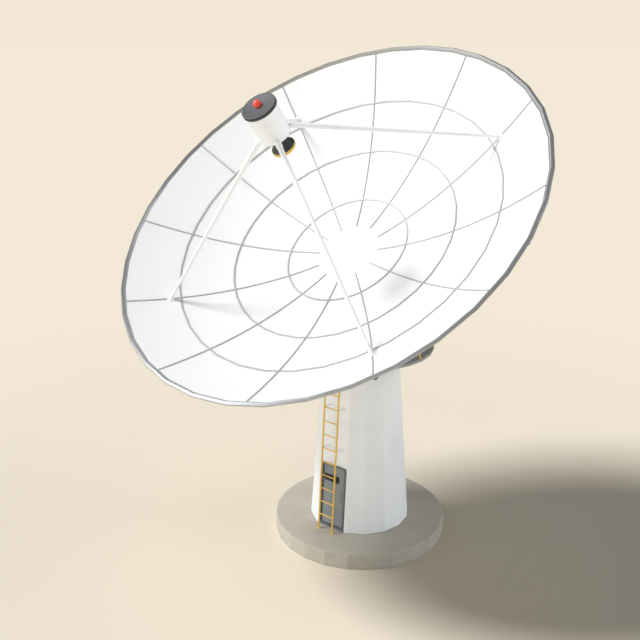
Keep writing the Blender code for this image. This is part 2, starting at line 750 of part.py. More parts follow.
def rib_path(turn):
    """Points of a rib's tube along the dish, from the hub to the rim."""
    depth = PANEL_THICKNESS + RIB_TUBE_RADIUS + 3 * GAP
    radii = [DRUM_RADIUS + RIB_ROOT] + list(ring_rows()[1:-1]) + [RIB_END_RADIUS - RIB_SHORT_OF_RIM]
    path = []
    for radius in radii:
        slope = radius / (2 * FOCAL_LENGTH)
        length = math.hypot(slope, 1.0)
        out = radius + depth * slope / length
        z = dish_height(radius) - depth / length
        angle = math.radians(turn)
        # Where a rib runs behind the middle of a flat facet it follows that facet
        inset = math.cos(math.radians(5)) if turn % 10 else 1.0
        path.append(Vector((out * inset * math.cos(angle), out * inset * math.sin(angle), z)))
    return path


def point_on_path(path, radius):
    for a, b in zip(path, path[1:]):
        ra, rb = a.xy.length, b.xy.length
        if ra <= radius <= rb:
            return a.lerp(b, (radius - ra) / (rb - ra))
    return path[-1]


def build_back_frame(dish):
    shapes = []
    inner = DRUM_RADIUS + GAP
    outer = inner + BAND_THICKNESS
    band = [(inner, BAND_ENDS[0]), (outer, BAND_ENDS[0]), (outer, BAND_ENDS[1]), (inner, BAND_ENDS[1])]
    shapes.append(turned(band, DISH_SIDES, closed=True))
    for index in range(RIB_COUNT):
        turn = 360.0 * index / RIB_COUNT
        angle = math.radians(turn)
        out = Vector((math.cos(angle), math.sin(angle), 0))
        side = Vector((-math.sin(angle), math.cos(angle), 0))
        path = rib_path(turn)
        shapes.append(bent_tube(path, RIB_TUBE_RADIUS, 8, lambda place: side))
        start = out * (inner + RIB_ROOT) + Vector((0, 0, CHORD_HUB_Z))
        end = point_on_path(path, CHORD_END_RADIUS)
        shapes.append(rod(start, end, CHORD_RADIUS, 6))
        for low, high in zip(BRACE_FEET, BRACE_HEADS):
            share = (low - start.xy.length) / (end.xy.length - start.xy.length)
            shapes.append(rod(start.lerp(end, share), point_on_path(path, high), BRACE_RADIUS, 6))
    for radius in HOOP_RADII:
        corners = [360.0 * i / RIB_COUNT / 2 for i in range(2 * RIB_COUNT)]
        path = []
        for turn in corners:
            place = point_on_path(rib_path(0), radius)
            angle = math.radians(turn)
            depth = RIB_TUBE_RADIUS + HOOP_TUBE_RADIUS * 0.5
            path.append(Vector((place.x * math.cos(angle), place.x * math.sin(angle), place.z - depth)))
        shapes.append(bent_tube(path, HOOP_TUBE_RADIUS, 6, lambda place: (0, 0, 1), closed=True))
    node("back_frame", shapes, "steel_dark", dish)


# Receiver at the focus

def foot_plane():
    """The flat facet that carries a strut's foot: a point on it and its slope, in the strut's own plane."""
    rows = ring_rows()
    inset = math.cos(math.radians(5))
    for a, b in zip(rows, rows[1:]):
        if a <= STRUT_FOOT_DISTANCE <= b:
            start = Vector((a * inset, dish_height(a)))
            along = (Vector((b * inset, dish_height(b))) - start).normalized()
            place = start + along * ((STRUT_FOOT_DISTANCE * inset - start.x) / along.x)
            return place, along
    return None


def build_struts(dish):
    place, along = foot_plane()
    normal = Vector((-along.y, 0, along.x))
    foot = Vector((place.x, 0, place.y))
    low = foot + normal * GAP
    pad = rod(low, foot + normal * STRUT_PAD_THICKNESS, STRUT_PAD_RADIUS, 16)
    head = Vector((STRUT_HEAD_DISTANCE, 0, VERTEX_AHEAD + STRUT_HEAD_HEIGHT))
    shaft = rod(foot + normal * STRUT_ROOT, head, STRUT_FOOT_RADIUS, 12, STRUT_HEAD_RADIUS)
    cabin = prism(
        polygon(CABIN_RADIUS + GAP, CABIN_SIDES, CABIN_TURN),
        VERTEX_AHEAD + CABIN_BOTTOM - STRUT_CUT_MARGIN, VERTEX_AHEAD + CABIN_TOP + STRUT_CUT_MARGIN,
    )
    for index in range(4):
        turn = Matrix.Rotation(math.radians(45 + 90 * index), 4, "Z")
        shapes = [moved(shaft, turn), moved(pad, turn)]
        node(f"strut_{index + 1}", shapes, "dish_white", dish, cuts=[cabin])


def build_receiver(dish):
    base = VERTEX_AHEAD
    cabin = [
        (0.0, base + CABIN_BOTTOM), (CABIN_RADIUS, base + CABIN_BOTTOM),
        (CABIN_RADIUS, base + CABIN_TOP), (0.0, base + CABIN_TOP),
    ]
    node("receiver_cabin", [turned(cabin, CABIN_SIDES, turn=CABIN_TURN)], "dish_white", dish)
    cap = [
        (0.0, base + CABIN_TOP + GAP), (CAP_RADIUS, base + CABIN_TOP + GAP),
        (CAP_RADIUS, base + CAP_TOP - CAP_EDGE), (CAP_RADIUS - CAP_EDGE, base + CAP_TOP),
        (0.0, base + CAP_TOP),
    ]
    node("receiver_cap", [turned(cap, 36)], "cap_grey", dish)
    foot = base + CAP_TOP + GAP
    dome_foot = foot + BEACON_STAND
    dome = [(0.0, foot), (BEACON_RADIUS, foot)]
    for i in range(BEACON_STEPS):
        angle = math.radians(90.0 * i / BEACON_STEPS)
        dome.append((BEACON_RADIUS * math.cos(angle), dome_foot + BEACON_RADIUS * math.sin(angle)))
    dome.append((0.0, dome_foot + BEACON_RADIUS))
    node("beacon", [turned(dome, 20)], "beacon_red", dish)
    build_horn(dish)


def build_horn(dish):
    """A flared horn, open at its mouth, with a ring under the lip."""
    top = VERTEX_AHEAD + CABIN_BOTTOM - GAP
    mouth = VERTEX_AHEAD + HORN_MOUTH_HEIGHT
    throat = top - HORN_FLANGE_THICKNESS
    outer, inner = [], []
    steps = 5
    for share in [i / steps for i in range(steps + 1)]:
        z = mouth + (throat - mouth) * share
        narrowing = (HORN_MOUTH_RADIUS - HORN_THROAT_RADIUS) * math.sin(share * math.pi / 2)
        radius = HORN_MOUTH_RADIUS - narrowing
        outer.append((radius, z))
        inner.append((radius - HORN_WALL, z))
    bottom = inner[-2][1] + HORN_WALL
    profile = [(0.0, top), (HORN_FLANGE_RADIUS, top), (HORN_FLANGE_RADIUS, throat)]
    profile += outer[::-1] + inner[:-1] + [(inner[-1][0], bottom), (0.0, bottom)]
    node("feed_horn", [turned(profile, 24)], "horn_grey", dish)
    inside = HORN_MOUTH_RADIUS - HORN_WALL
    outside = HORN_MOUTH_RADIUS + HORN_RING_PROUD
    high = mouth - GAP
    low = high - HORN_RING_DEPTH
    ring = [(inside, low), (outside, low), (outside, high), (inside, high)]
    node("horn_ring", [turned(ring, 24, closed=True)], "horn_yellow", dish)


for old in list(bpy.data.objects):
    bpy.data.objects.remove(old)
MATERIALS = {name: make_material(name) for name in COLOURS}
FRONT_HALF_TURN = 360.0 / TOWER_SIDES
FRONT_LEAN = math.degrees(math.atan(TOWER_TAPER * math.cos(math.radians(FRONT_HALF_TURN))))
HINGE_PLACE = (
    -(DOOR_FRAME_WIDTH / 2 - DOOR_FRAME_BAR - DOOR_CLEARANCE - DOOR_HINGE_INSET),
    -DOOR_FRAME_PROUD + DOOR_FRAME_DEPTH - 0.01 + DOOR_HINGE_OUTSET,
    0.0,
)

front_flat = TOWER_FOOT_RADIUS * math.cos(math.radians(FRONT_HALF_TURN))
front_face = empty("front_face", (0.0, -front_flat, SLAB_HEIGHT), -FRONT_LEAN)
door_hinge = empty("door_hinge", HINGE_PLACE, 0.0, front_face)
azimuth_axis = empty("azimuth_axis", (0.0, 0.0, 0.0))
elevation_axis = empty("elevation_axis", (0.0, 0.0, PIVOT_HEIGHT), 90.0 - REST_ELEVATION, azimuth_axis)

build_foundation()
build_tower()
build_deck()
build_railing()
build_ladder(front_face)
build_door(front_face, door_hinge)
build_azimuth_head(azimuth_axis)
build_panels(elevation_axis)
build_rim_hoop(elevation_axis)
build_hub(elevation_axis)
build_back_frame(elevation_axis)
build_struts(elevation_axis)
build_receiver(elevation_axis)
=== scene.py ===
"""The looks of a steerable radio telescope dish: detailed pieces, finishes, floor, light and camera.

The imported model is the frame. Each new piece is a surface worked out with numpy, rides on one of the
frame's bodies, and stands for the frame's nodes of the same thing. Lengths are in metres.
"""
import math

import bpy
import numpy as np
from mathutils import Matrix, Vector


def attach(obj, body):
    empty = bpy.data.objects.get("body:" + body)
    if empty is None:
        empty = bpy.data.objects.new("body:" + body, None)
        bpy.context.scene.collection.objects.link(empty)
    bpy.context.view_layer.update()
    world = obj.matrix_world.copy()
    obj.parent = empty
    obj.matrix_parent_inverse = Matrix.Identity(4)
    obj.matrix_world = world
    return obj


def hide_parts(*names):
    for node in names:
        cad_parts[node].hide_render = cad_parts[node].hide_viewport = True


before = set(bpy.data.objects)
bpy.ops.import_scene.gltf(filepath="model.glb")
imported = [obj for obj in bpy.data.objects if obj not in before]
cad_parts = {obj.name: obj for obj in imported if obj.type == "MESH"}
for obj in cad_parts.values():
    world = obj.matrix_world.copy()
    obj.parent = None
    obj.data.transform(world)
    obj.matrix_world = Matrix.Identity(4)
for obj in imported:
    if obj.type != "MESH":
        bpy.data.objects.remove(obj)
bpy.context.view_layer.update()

# Sizes of the model, and of the pieces on it
GAP = 0.0003
SLAB_RADIUS = 2.553
SLAB_HEIGHT = 0.48
SLAB_SIDES = 24
TOWER_SIDES = 16
TOWER_FOOT_RADIUS = 1.485
TOWER_TAPER = 0.0749
TOWER_WALL = 0.03
TOWER_CORNER_CUT = 0.003
SITE_SEAMS = (2.30, 4.10)
DECK_UNDERSIDE = 5.82
DECK_TOP = 5.90
DECK_RADIUS = 2.07
DECK_SIDES = 24
DECK_LIP = 0.008
HATCH_HALF_WIDTH = 0.36
HATCH_FRONT = -1.86
HATCH_BACK = -1.12
RAILING_RADIUS = 2.0
RAILING_HEIGHT = 1.0
POST_COUNT = 12
DOOR_WIDTH = 0.90
DOOR_HEIGHT = 1.99
DOOR_BAR = 0.055
DOOR_DEPTH = 0.10
DOOR_PROUD = 0.03
DOOR_CORNER = 0.085
DOOR_SILL = 0.075
DOOR_CLEARANCE = 0.008
LEAF_THICKNESS = 0.045
LEAF_FIELD_DEPTH = 0.004
HINGE_HEIGHTS = (0.35, 1.05, 1.75)
HINGE_LENGTH = 0.06
HINGE_WING = 0.045
VENT_HALF_WIDTH = 0.28
VENT_HALF_HEIGHT = 0.105
VENT_MIDDLE = 1.54
VENT_ASIDE = -0.075
LOCK_HEIGHT = 0.90
HANDLE_HEIGHT = 1.07
LADDER_STANDOFF = 0.27
LADDER_HALF_WIDTH = 0.25
LADDER_LENGTH = 6.3853
STRINGER_TUBE = 0.026
RUNG_FIRST = 0.463
RUNG_STEP = 0.4165
RUNG_COUNT = 13
BRACKET_HEIGHTS = (2.546, 3.795, 5.045)
BEARING_TOP = 6.0775
TABLE_UNDERSIDE = 6.08
TABLE_TOP = 6.22
AZIMUTH_MOTOR_BEHIND = 0.72
ARM_INNER = 0.80
ARM_OUTER = 0.98
ARM_MIDDLE = 0.89
ARM_RIM = 0.032
ARM_BOSS_RADIUS = 0.29
PIVOT_HEIGHT = 7.905
REST_ELEVATION = 50.11
VERTEX_AHEAD = 1.028
FOCAL_LENGTH = 4.493
PANEL_RADIUS = 5.874
PANEL_DEPTH = 0.04
PANEL_LIP = 0.038
PANEL_SKIN = 0.003
PETAL_COUNT = 12
HUB_RADIUS = 0.89
RING_SEAMS = (1.765, 3.237, 4.612)
DISH_SIDES = 36
HOOP_TUBE = 0.068
HOOP_DROP = 0.015
DRUM_RADIUS = 0.80
DRUM_WALL = 0.04
DRUM_BACK = 0.42
BAND_LOW = 0.50
BAND_HIGH = 0.90
BAND_THICKNESS = 0.06
RIB_COUNT = 8
RIB_TUBE = 0.068
RIB_END_RADIUS = 5.78
RIB_HOOPS = (2.05, 4.10)
CHORD_REACH = 3.2
BRACES = ((1.15, 1.45), (1.75, 2.05), (2.40, 2.80))
CHEEK_INNER = 0.58
CHEEK_MIDDLE = 0.62
CHEEK_OUTER = 0.66
WEIGHT_PLATES = 11
STRUT_TURN = 45.0
STRUT_FOOT_RADIUS = 4.85
STRUT_FOOT_TUBE = 0.042
STRUT_HEAD_TUBE = 0.066
STRUT_HEAD = (0.357, VERTEX_AHEAD + 4.544)
CABIN_RADIUS = 0.40
CABIN_LOW = VERTEX_AHEAD + 4.44
CABIN_TOP = VERTEX_AHEAD + 5.264
CABIN_HATCH_TURN = 200.0
CABIN_HATCH_SPREAD = 28.0
CAP_TOP = VERTEX_AHEAD + 5.356
BEACON_RADIUS = 0.092
BEACON_STAND = 0.065
HORN_MOUTH = VERTEX_AHEAD + 4.06
HORN_MOUTH_RADIUS = 0.302
HORN_THROAT_RADIUS = 0.13

# Camera, found by fitting the dish, slab and tower to the photo
CAMERA_PLACE = (14.450, -19.087, 14.400)
CAMERA_AIM = (-0.6113, 0.7279, -0.3107)
CAMERA_LENS = 49.455
CAMERA_SENSOR = 36.0

# Values worked out from these
TOWER_FACET = 360.0 / TOWER_SIDES
FRONT_COSINE = math.cos(math.radians(TOWER_FACET))
FRONT_SINE = math.sin(math.radians(TOWER_FACET))
DOOR_TOP = SLAB_HEIGHT + DOOR_HEIGHT
PETAL_TURN = 360.0 / PETAL_COUNT
BAND_RADIUS = DRUM_RADIUS + GAP
AXIS_ORDER = {"X": (2, 0, 1), "Y": (0, 2, 1), "Z": (0, 1, 2)}
UPWARDS = (0.0, 0.0, 1.0)


# Shapes: a shape is a pair of points and lists of faces, and every closed shape faces outwards

def unit(vectors):
    """Vectors divided by their lengths."""
    return vectors / np.linalg.norm(vectors, axis=-1, keepdims=True)


def ray(turn):
    """The direction (cos t, sin t, 0) at a turn in degrees."""
    return np.array([math.cos(math.radians(turn)), math.sin(math.radians(turn)), 0.0])


def outward(points, faces):
    """Turns the faces round if the volume inside, the sum of a . (b x c) over triangles, is negative."""
    local = points - points.mean(axis=0)
    volume = 0.0
    for group in faces:
        first = local[group[:, 0]]
        for k in range(1, group.shape[1] - 1):
            volume += (first * np.cross(local[group[:, k]], local[group[:, k + 1]])).sum()
    return points, faces if volume > 0 else [group[:, ::-1] for group in faces]


def stack(rings, closed=False):
    """Rings of equally many points, joined by quads; the end rings are capped unless the stack is closed."""
    count, sides = rings.shape[:2]
    i = np.arange(count if closed else count - 1)[:, None]
    j = np.arange(sides)[None, :]
    after, beside = (i + 1) % count, (j + 1) % sides
    corners = [i * sides + j, i * sides + beside, after * sides + beside, after * sides + j]
    faces = [np.stack(corners, axis=-1).reshape(-1, 4)]
    if not closed:
        ring = np.arange(sides)
        faces.append(np.stack([ring[::-1], ring + (count - 1) * sides]))
    return outward(rings.reshape(-1, 3), faces)


def circle(radius, sides, turn=0.0):
    """Points r (cos t, sin t) at equal steps of t, from a first turn in degrees."""
    t = math.radians(turn) + 2 * math.pi * np.arange(sides) / sides
    return radius * np.stack([np.cos(t), np.sin(t)], axis=-1)


def at_height(outline, height, axis="Z"):
    """Points (u, v) of an outline, moved to a height along an axis."""
    outline = np.asarray(outline, float)
    return np.column_stack([outline, np.full(len(outline), height)])[:, AXIS_ORDER[axis]]


def lathe(profile, sides, closed=False):
    """Each (r, z) of a profile carried round Z: x = r cos t, y = r sin t."""
    profile = np.asarray(profile, float)
    rings = np.empty((len(profile), sides, 3))
    rings[:, :, :2] = profile[:, None, :1] * circle(1.0, sides)[None]
    rings[:, :, 2] = profile[:, 1:]
    return stack(rings, closed)


def tube(path, radius, sides, up=UPWARDS, closed=False):
    """A circle carried along a path: p + r (cos t u + sin t v), where u and v lie across the path."""
    path = np.asarray(path, float)
    if closed:
        along = unit(np.roll(path, -1, axis=0) - np.roll(path, 1, axis=0))
    else:
        along = unit(np.gradient(path, axis=0))
    across = unit(np.cross(along, np.broadcast_to(up, path.shape)))
    other = np.cross(along, across)
    around = circle(1.0, sides, 180.0 / sides)
    reach = np.broadcast_to(radius, len(path))[:, None, None]
    rings = across[:, None] * around[None, :, :1] + other[:, None] * around[None, :, 1:]
    return stack(path[:, None] + reach * rings, closed)


def bar(start, end, radius, sides):
    """A straight round bar: a circle carried from start to end."""
    start, end = np.asarray(start, float), np.asarray(end, float)
    upright = abs(unit(end - start)[2]) >= 0.9
    return tube([start, end], radius, sides, (1.0, 0.0, 0.0) if upright else UPWARDS)


def prism(outline, low, high, axis="Z"):
    """An outline of (u, v) carried from low to high along an axis."""
    return stack(np.stack([at_height(outline, low, axis), at_height(outline, high, axis)]))


def box(low, high):
    """A block between two corners."""
    outline = [(low[0], low[1]), (high[0], low[1]), (high[0], high[1]), (low[0], high[1])]
    return prism(outline, low[2], high[2])


def frame_band(outer, inner, low, high, axis="Z"):
    """The wall between two matching outlines, from low to high: a closed loop of four-sided sections."""
    corners = ((outer, low), (outer, high), (inner, high), (inner, low))
    return stack(np.stack([at_height(line, height, axis) for line, height in corners], axis=1), closed=True)


def sheet(front, back):
    """Two matching grids with a wall round their edge: a row is a loop, down one and up the other."""
    return stack(np.concatenate([front, back[:, ::-1]], axis=1))


def inset(outline, distance):
    """An outline moved inwards: each corner goes along the middle of its sides' normals.

    It goes by the distance over the cosine between that middle and either normal.
    """
    outline = np.asarray(outline, float)
    before = unit(outline - np.roll(outline, 1, axis=0))
    after = unit(np.roll(outline, -1, axis=0) - outline)
    area = (outline[:, 0] * np.roll(outline[:, 1], -1) - np.roll(outline[:, 0], -1) * outline[:, 1]).sum()
    turn = 1.0 if area > 0 else -1.0
    normals = [turn * np.stack([-side[:, 1], side[:, 0]], axis=-1) for side in (before, after)]
    middle = unit(normals[0] + normals[1])
    cosine = (middle * normals[0]).sum(axis=1, keepdims=True)
    return outline + middle * distance / np.maximum(cosine, 0.4)


def rounded_box(half_width, half_height, radius):
    """A rectangle's outline with quarter circles at its corners, r (cos t, sin t) about each one's centre."""
    t = np.radians(np.linspace(0, 90, 5))
    quarter = radius * np.stack([np.cos(t), np.sin(t)], axis=-1)
    first = np.array([half_width - radius, half_height - radius]) + quarter
    second = (first * (-1, 1))[::-1]
    return np.concatenate([first, second, -first, -second])


def repeated(shape, places):
    """A copy of the shape at each 4 by 4 place: rotation times point plus shift, for all copies at once."""
    points, faces = shape
    places = np.asarray(places, float).reshape(-1, 4, 4)
    spread = np.einsum("kij,nj->kni", places[:, :3, :3], points) + places[:, None, :3, 3]
    shifts = np.arange(len(places))[:, None, None] * len(points)
    return spread.reshape(-1, 3), [(group[None] + shifts).reshape(-1, group.shape[1]) for group in faces]


def joined(*shapes):
    """Several shapes as one, with faces of the same number of sides kept together."""
    groups = {}
    start = 0
    for points, faces in shapes:
        for group in faces:
            groups.setdefault(group.shape[1], []).append(group + start)
        start += len(points)
    return np.concatenate([shape[0] for shape in shapes]), [np.concatenate(g) for g in groups.values()]


def standing(shape, points, normals=UPWARDS, reference=UPWARDS):
    """Copies of a shape at points, with Z along each normal and X across the normal and a reference."""
    points = np.atleast_2d(np.asarray(points, float))
    z = unit(np.broadcast_to(np.asarray(normals, float), points.shape))
    x = np.cross(np.broadcast_to(np.asarray(reference, float), points.shape), z)
    weak = np.linalg.norm(x, axis=1) < 1e-6
    x[weak] = np.cross((1.0, 0.0, 0.0), z[weak])
    x = unit(x)
    places = np.zeros((len(points), 4, 4))
    places[:, :3, 0], places[:, :3, 1], places[:, :3, 2] = x, np.cross(z, x), z
    places[:, :3, 3] = points
    places[:, 3, 3] = 1.0
    return repeated(shape, places)


def shifted(shape, shifts):
    """Copies of a shape, unturned, at each of several shifts."""
    places = np.repeat(np.eye(4)[None], len(shifts), axis=0)
    places[:, :3, 3] = shifts
    return repeated(shape, places)


def turned(shape, angles):
    """Copies of a shape turned about Z by angles t in degrees: x cos t - y sin t, x sin t + y cos t."""
    t = np.radians(np.atleast_1d(np.asarray(angles, float)))
    places = np.zeros((len(t), 4, 4))
    places[:, 0, 0], places[:, 0, 1] = np.cos(t), -np.sin(t)
    places[:, 1, 0], places[:, 1, 1] = np.sin(t), np.cos(t)
    places[:, 2, 2] = places[:, 3, 3] = 1.0
    return repeated(shape, places)


def bolt(size):
    """A six-sided bolt head on a round washer, standing on z = 0; size is the head's width."""
    washer = lathe([(size * 0.75, 0.0), (size * 0.75, size * 0.12)], 12)
    head = lathe([(size * 0.56, size * 0.12), (size * 0.56, size * 0.52), (size * 0.44, size * 0.62)], 6)
    return joined(washer, head)


def rivet(size):
    """A low round head on z = 0."""
    return lathe([(size * 0.5, 0.0), (size * 0.42, size * 0.16), (size * 0.2, size * 0.26)], 8)


def bolt_circle(radius, count, height, size, turn=0.0):
    """Bolts round Z at equal steps, standing on a height."""
    return standing(bolt(size), at_height(circle(radius, count, turn), height))


def leaning(origin, lean):
    """The place of a frame that is turned about X by an angle in degrees."""
    cosine, sine = math.cos(math.radians(lean)), math.sin(math.radians(lean))
    place = np.eye(4)
    place[1, 1], place[1, 2] = cosine, -sine
    place[2, 1], place[2, 2] = sine, cosine
    place[:3, 3] = origin
    return place


FRONT_LEAN = math.degrees(math.atan(TOWER_TAPER * FRONT_COSINE))
FRONT = leaning((0.0, -TOWER_FOOT_RADIUS * FRONT_COSINE, SLAB_HEIGHT), -FRONT_LEAN)
DISH = leaning((0.0, 0.0, PIVOT_HEIGHT), 90.0 - REST_ELEVATION)


def piece(name, shape, body, slot, material, replaces=(), place=None, crease=32.0, bevel=0.0):
    """Makes one mesh object at the origin, with its place in its mesh, ties it to a body, and hides the nodes
    it stands for.
    """
    points, faces = shape if place is None else repeated(shape, place)
    mesh = bpy.data.meshes.new(name)
    mesh.from_pydata(points, [], [face for group in faces for face in group.tolist()])
    mesh.shade_smooth()
    made = bpy.data.objects.new(name, mesh)
    bpy.context.scene.collection.objects.link(made)
    if bevel:
        edge = made.modifiers.new("Edges", "BEVEL")
        edge.width = bevel
        edge.segments = 2
        edge.limit_method = "ANGLE"
        edge.angle_limit = math.radians(crease)
        edge.harden_normals = True
    else:
        mesh.set_sharp_from_angle(angle=math.radians(crease))
    mesh.materials.append(material)
    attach(made, body)
    if replaces:
        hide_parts(*replaces)


def dish_piece(name, shape, slot, material, replaces=(), **settings):
    """A piece that is given in the dish's own frame, with the beam along Z, and rides on the dish."""
    piece(name, shape, "dish", slot, material, replaces, DISH, **settings)


# Finishes

def put(tree, kind, inputs=None, **settings):
    """Adds a node; an input is a value or another node's output."""
    made = tree.nodes.new(kind)
    for name, value in settings.items():
        setattr(made, name, value)
    for name, value in (inputs or {}).items():
        if isinstance(value, bpy.types.NodeSocket):
            tree.links.new(value, made.inputs[name])
        else:
            made.inputs[name].default_value = value
    return made


def coordinates(tree):
    """The place of each point in metres."""
    return put(tree, "ShaderNodeTexCoord").outputs["Object"]


def math_of(tree, operation, first, second=0.0, third=None):
    """The output of a Math node."""
    inputs = {0: first, 1: second}
    if third is not None:
        inputs[2] = third
    return put(tree, "ShaderNodeMath", inputs, operation=operation).outputs[0]


def mixed(tree, share, first, second):
    """The output of a colour mix."""
    return put(tree, "ShaderNodeMix", {0: share, 6: first, 7: second}, data_type="RGBA").outputs[2]


def ramp(tree, value, low, high, start=0.0, end=1.0):
    """A value carried smoothly from low..high to start..end, and held beyond them."""
    inputs = {"Value": value, "From Min": low, "From Max": high, "To Min": start, "To Max": end}
    return put(tree, "ShaderNodeMapRange", inputs, interpolation_type="SMOOTHSTEP").outputs["Result"]


def noise(tree, vector, scale, detail=4.0, roughness=0.55, distortion=0.0):
    """The value of a noise texture."""
    inputs = {
        "Vector": vector, "Scale": scale, "Detail": detail, "Roughness": roughness, "Distortion": distortion,
    }
    return put(tree, "ShaderNodeTexNoise", inputs).outputs[0]


def add_relief(tree, shader, strength, distance, height):
    """Bumps the shader's normal by a height."""
    made = put(tree, "ShaderNodeBump", {"Strength": strength, "Distance": distance, "Height": height})
    tree.links.new(made.outputs[0], shader.inputs["Normal"])


def new_group(name, inputs, outputs):
    """An empty shader group with named sockets; returns the tree, its input node and its output node."""
    tree = bpy.data.node_groups.new(name, "ShaderNodeTree")
    kinds = {"colour": "NodeSocketColor", "value": "NodeSocketFloat"}
    for label, (kind, value) in inputs.items():
        socket = tree.interface.new_socket(name=label, in_out="INPUT", socket_type=kinds[kind])
        socket.default_value = value
    for label, kind in outputs.items():
        tree.interface.new_socket(name=label, in_out="OUTPUT", socket_type=kinds[kind])
    return tree, tree.nodes.new("NodeGroupInput").outputs, tree.nodes.new("NodeGroupOutput").inputs


def make_weather_group():
    """Paint that has stood outdoors: broad cloudy patches, runs of dirt down the face, and a fine grain."""
    tree, given, out = new_group(
        "weathered paint",
        {
            "Clean": ("colour", (0.8, 0.8, 0.8, 1.0)), "Dirt": ("colour", (0.3, 0.28, 0.25, 1.0)),
            "Patches": ("value", 0.3), "Runs": ("value", 0.3), "Roughness": ("value", 0.45),
        },
        {"Color": "colour", "Roughness": "value", "Height": "value"},
    )
    place = coordinates(tree)
    cloud = noise(tree, place, 0.9, 6.0, 0.62, 0.4)
    patches = math_of(tree, "MULTIPLY", ramp(tree, cloud, 0.45, 0.75), given["Patches"])
    drawn_down = put(tree, "ShaderNodeMapping", {"Vector": place, "Scale": (11.0, 11.0, 0.55)}).outputs[0]
    run_noise = noise(tree, drawn_down, 1.0, 5.0, 0.6, 0.2)
    runs = math_of(tree, "MULTIPLY", ramp(tree, run_noise, 0.52, 0.8), given["Runs"])
    mask = math_of(tree, "MAXIMUM", patches, runs)
    grain = noise(tree, place, 260.0, 3.0, 0.5)
    speckle = noise(tree, place, 22.0, 5.0, 0.7)
    tone = mixed(tree, ramp(tree, speckle, 0.3, 0.7, 0.0, 0.035), given["Clean"], given["Dirt"])
    tree.links.new(mixed(tree, mask, tone, given["Dirt"]), out["Color"])
    rough = math_of(tree, "MULTIPLY_ADD", mask, 0.25, given["Roughness"])
    rough = math_of(tree, "ADD", rough, ramp(tree, grain, 0.0, 1.0, -0.04, 0.04))
    tree.links.new(rough, out["Roughness"])
    swell = math_of(tree, "MULTIPLY", noise(tree, place, 7.0, 2.0), 3.0)
    tree.links.new(math_of(tree, "ADD", grain, swell), out["Height"])
    return tree


def make_wear_group():
    """A mask along outer edges, where a bevelled normal leaves the face's own, broken up by noise."""
    tree, given, out = new_group(
        "worn edges", {"Width": ("value", 0.006), "Amount": ("value", 0.7)}, {"Mask": "value"}
    )
    soft = put(tree, "ShaderNodeBevel", {"Radius": given["Width"]}, samples=4).outputs[0]
    flat = put(tree, "ShaderNodeNewGeometry").outputs["Normal"]
    match = put(tree, "ShaderNodeVectorMath", {0: soft, 1: flat}, operation="DOT_PRODUCT").outputs["Value"]
    edge = ramp(tree, match, 0.995, 0.93)
    broken = ramp(tree, noise(tree, coordinates(tree), 45.0, 6.0, 0.7), 0.5, 0.62)
    mask = math_of(tree, "MULTIPLY", math_of(tree, "MULTIPLY", edge, broken), given["Amount"])
    tree.links.new(mask, out["Mask"])
    return tree


def make_concrete_group():
    """Cast concrete: cloudy tones, fine sand, scattered air holes, and darker towards the bottom."""
    tree, given, out = new_group(
        "cast concrete",
        {"Light": ("colour", (0.5, 0.47, 0.41, 1.0)), "Dark": ("colour", (0.33, 0.31, 0.27, 1.0))},
        {"Color": "colour", "Roughness": "value", "Height": "value"},
    )
    place = coordinates(tree)
    cloud = noise(tree, place, 1.3, 7.0, 0.65, 0.5)
    sand = noise(tree, place, 130.0, 4.0, 0.7)
    cells = put(tree, "ShaderNodeTexVoronoi", {"Vector": place, "Scale": 26.0}).outputs["Distance"]
    thin = ramp(tree, noise(tree, place, 5.0, 2.0), 0.5, 0.68)
    holes = math_of(tree, "MULTIPLY", ramp(tree, cells, 0.16, 0.05), thin)
    height = put(tree, "ShaderNodeSeparateXYZ", {0: place}).outputs["Z"]
    # Darker towards the bottom, within about 0.2 m of the ground
    low_darkening = ramp(tree, math_of(tree, "MULTIPLY_ADD", cloud, 0.14, height), 0.2, 0.05, 0.0, 0.55)
    dark = math_of(tree, "MAXIMUM", low_darkening, math_of(tree, "MULTIPLY", holes, 0.6))
    tone = mixed(tree, ramp(tree, cloud, 0.35, 0.75, 0.0, 0.45), given["Light"], given["Dark"])
    tone = mixed(tree, ramp(tree, sand, 0.3, 0.7, 0.0, 0.14), tone, given["Dark"])
    tree.links.new(mixed(tree, dark, tone, given["Dark"]), out["Color"])
    tree.links.new(ramp(tree, sand, 0.2, 0.8, 0.8, 0.95), out["Roughness"])
    tree.links.new(math_of(tree, "SUBTRACT", math_of(tree, "MULTIPLY", sand, 0.35), holes), out["Height"])
    return tree


def make_tread_group():
    """Tread plate: raised lozenges in a chequered pattern, every second one turned a quarter."""
    tree, given, out = new_group("tread plate", {"Pitch": ("value", 0.028)}, {"Height": "value"})
    eighth = {"Vector": coordinates(tree), "Rotation": (0.0, 0.0, math.radians(45))}
    turned_place = put(tree, "ShaderNodeMapping", eighth).outputs[0]
    split = put(tree, "ShaderNodeSeparateXYZ", {0: turned_place}).outputs
    cells = [math_of(tree, "DIVIDE", split[axis], given["Pitch"]) for axis in (0, 1)]
    floors = [math_of(tree, "FLOOR", cell) for cell in cells]
    squares = []
    for cell, floor in zip(cells, floors):
        part = math_of(tree, "SUBTRACT", math_of(tree, "SUBTRACT", cell, floor), 0.5)
        squares.append(math_of(tree, "POWER", math_of(tree, "ABSOLUTE", part), 2.0))
    odd = math_of(tree, "PINGPONG", math_of(tree, "ADD", *floors), 1.0)
    lying = math_of(tree, "MULTIPLY_ADD", squares[1], 14.0, squares[0])
    upright = math_of(tree, "MULTIPLY_ADD", squares[0], 14.0, squares[1])
    chosen = put(tree, "ShaderNodeMix", {0: odd, 2: lying, 3: upright}, data_type="FLOAT").outputs[0]
    tree.links.new(ramp(tree, chosen, 0.19, 0.12), out["Height"])
    return tree


WEATHER = make_weather_group()
WEAR = make_wear_group()
CONCRETE = make_concrete_group()
TREAD = make_tread_group()


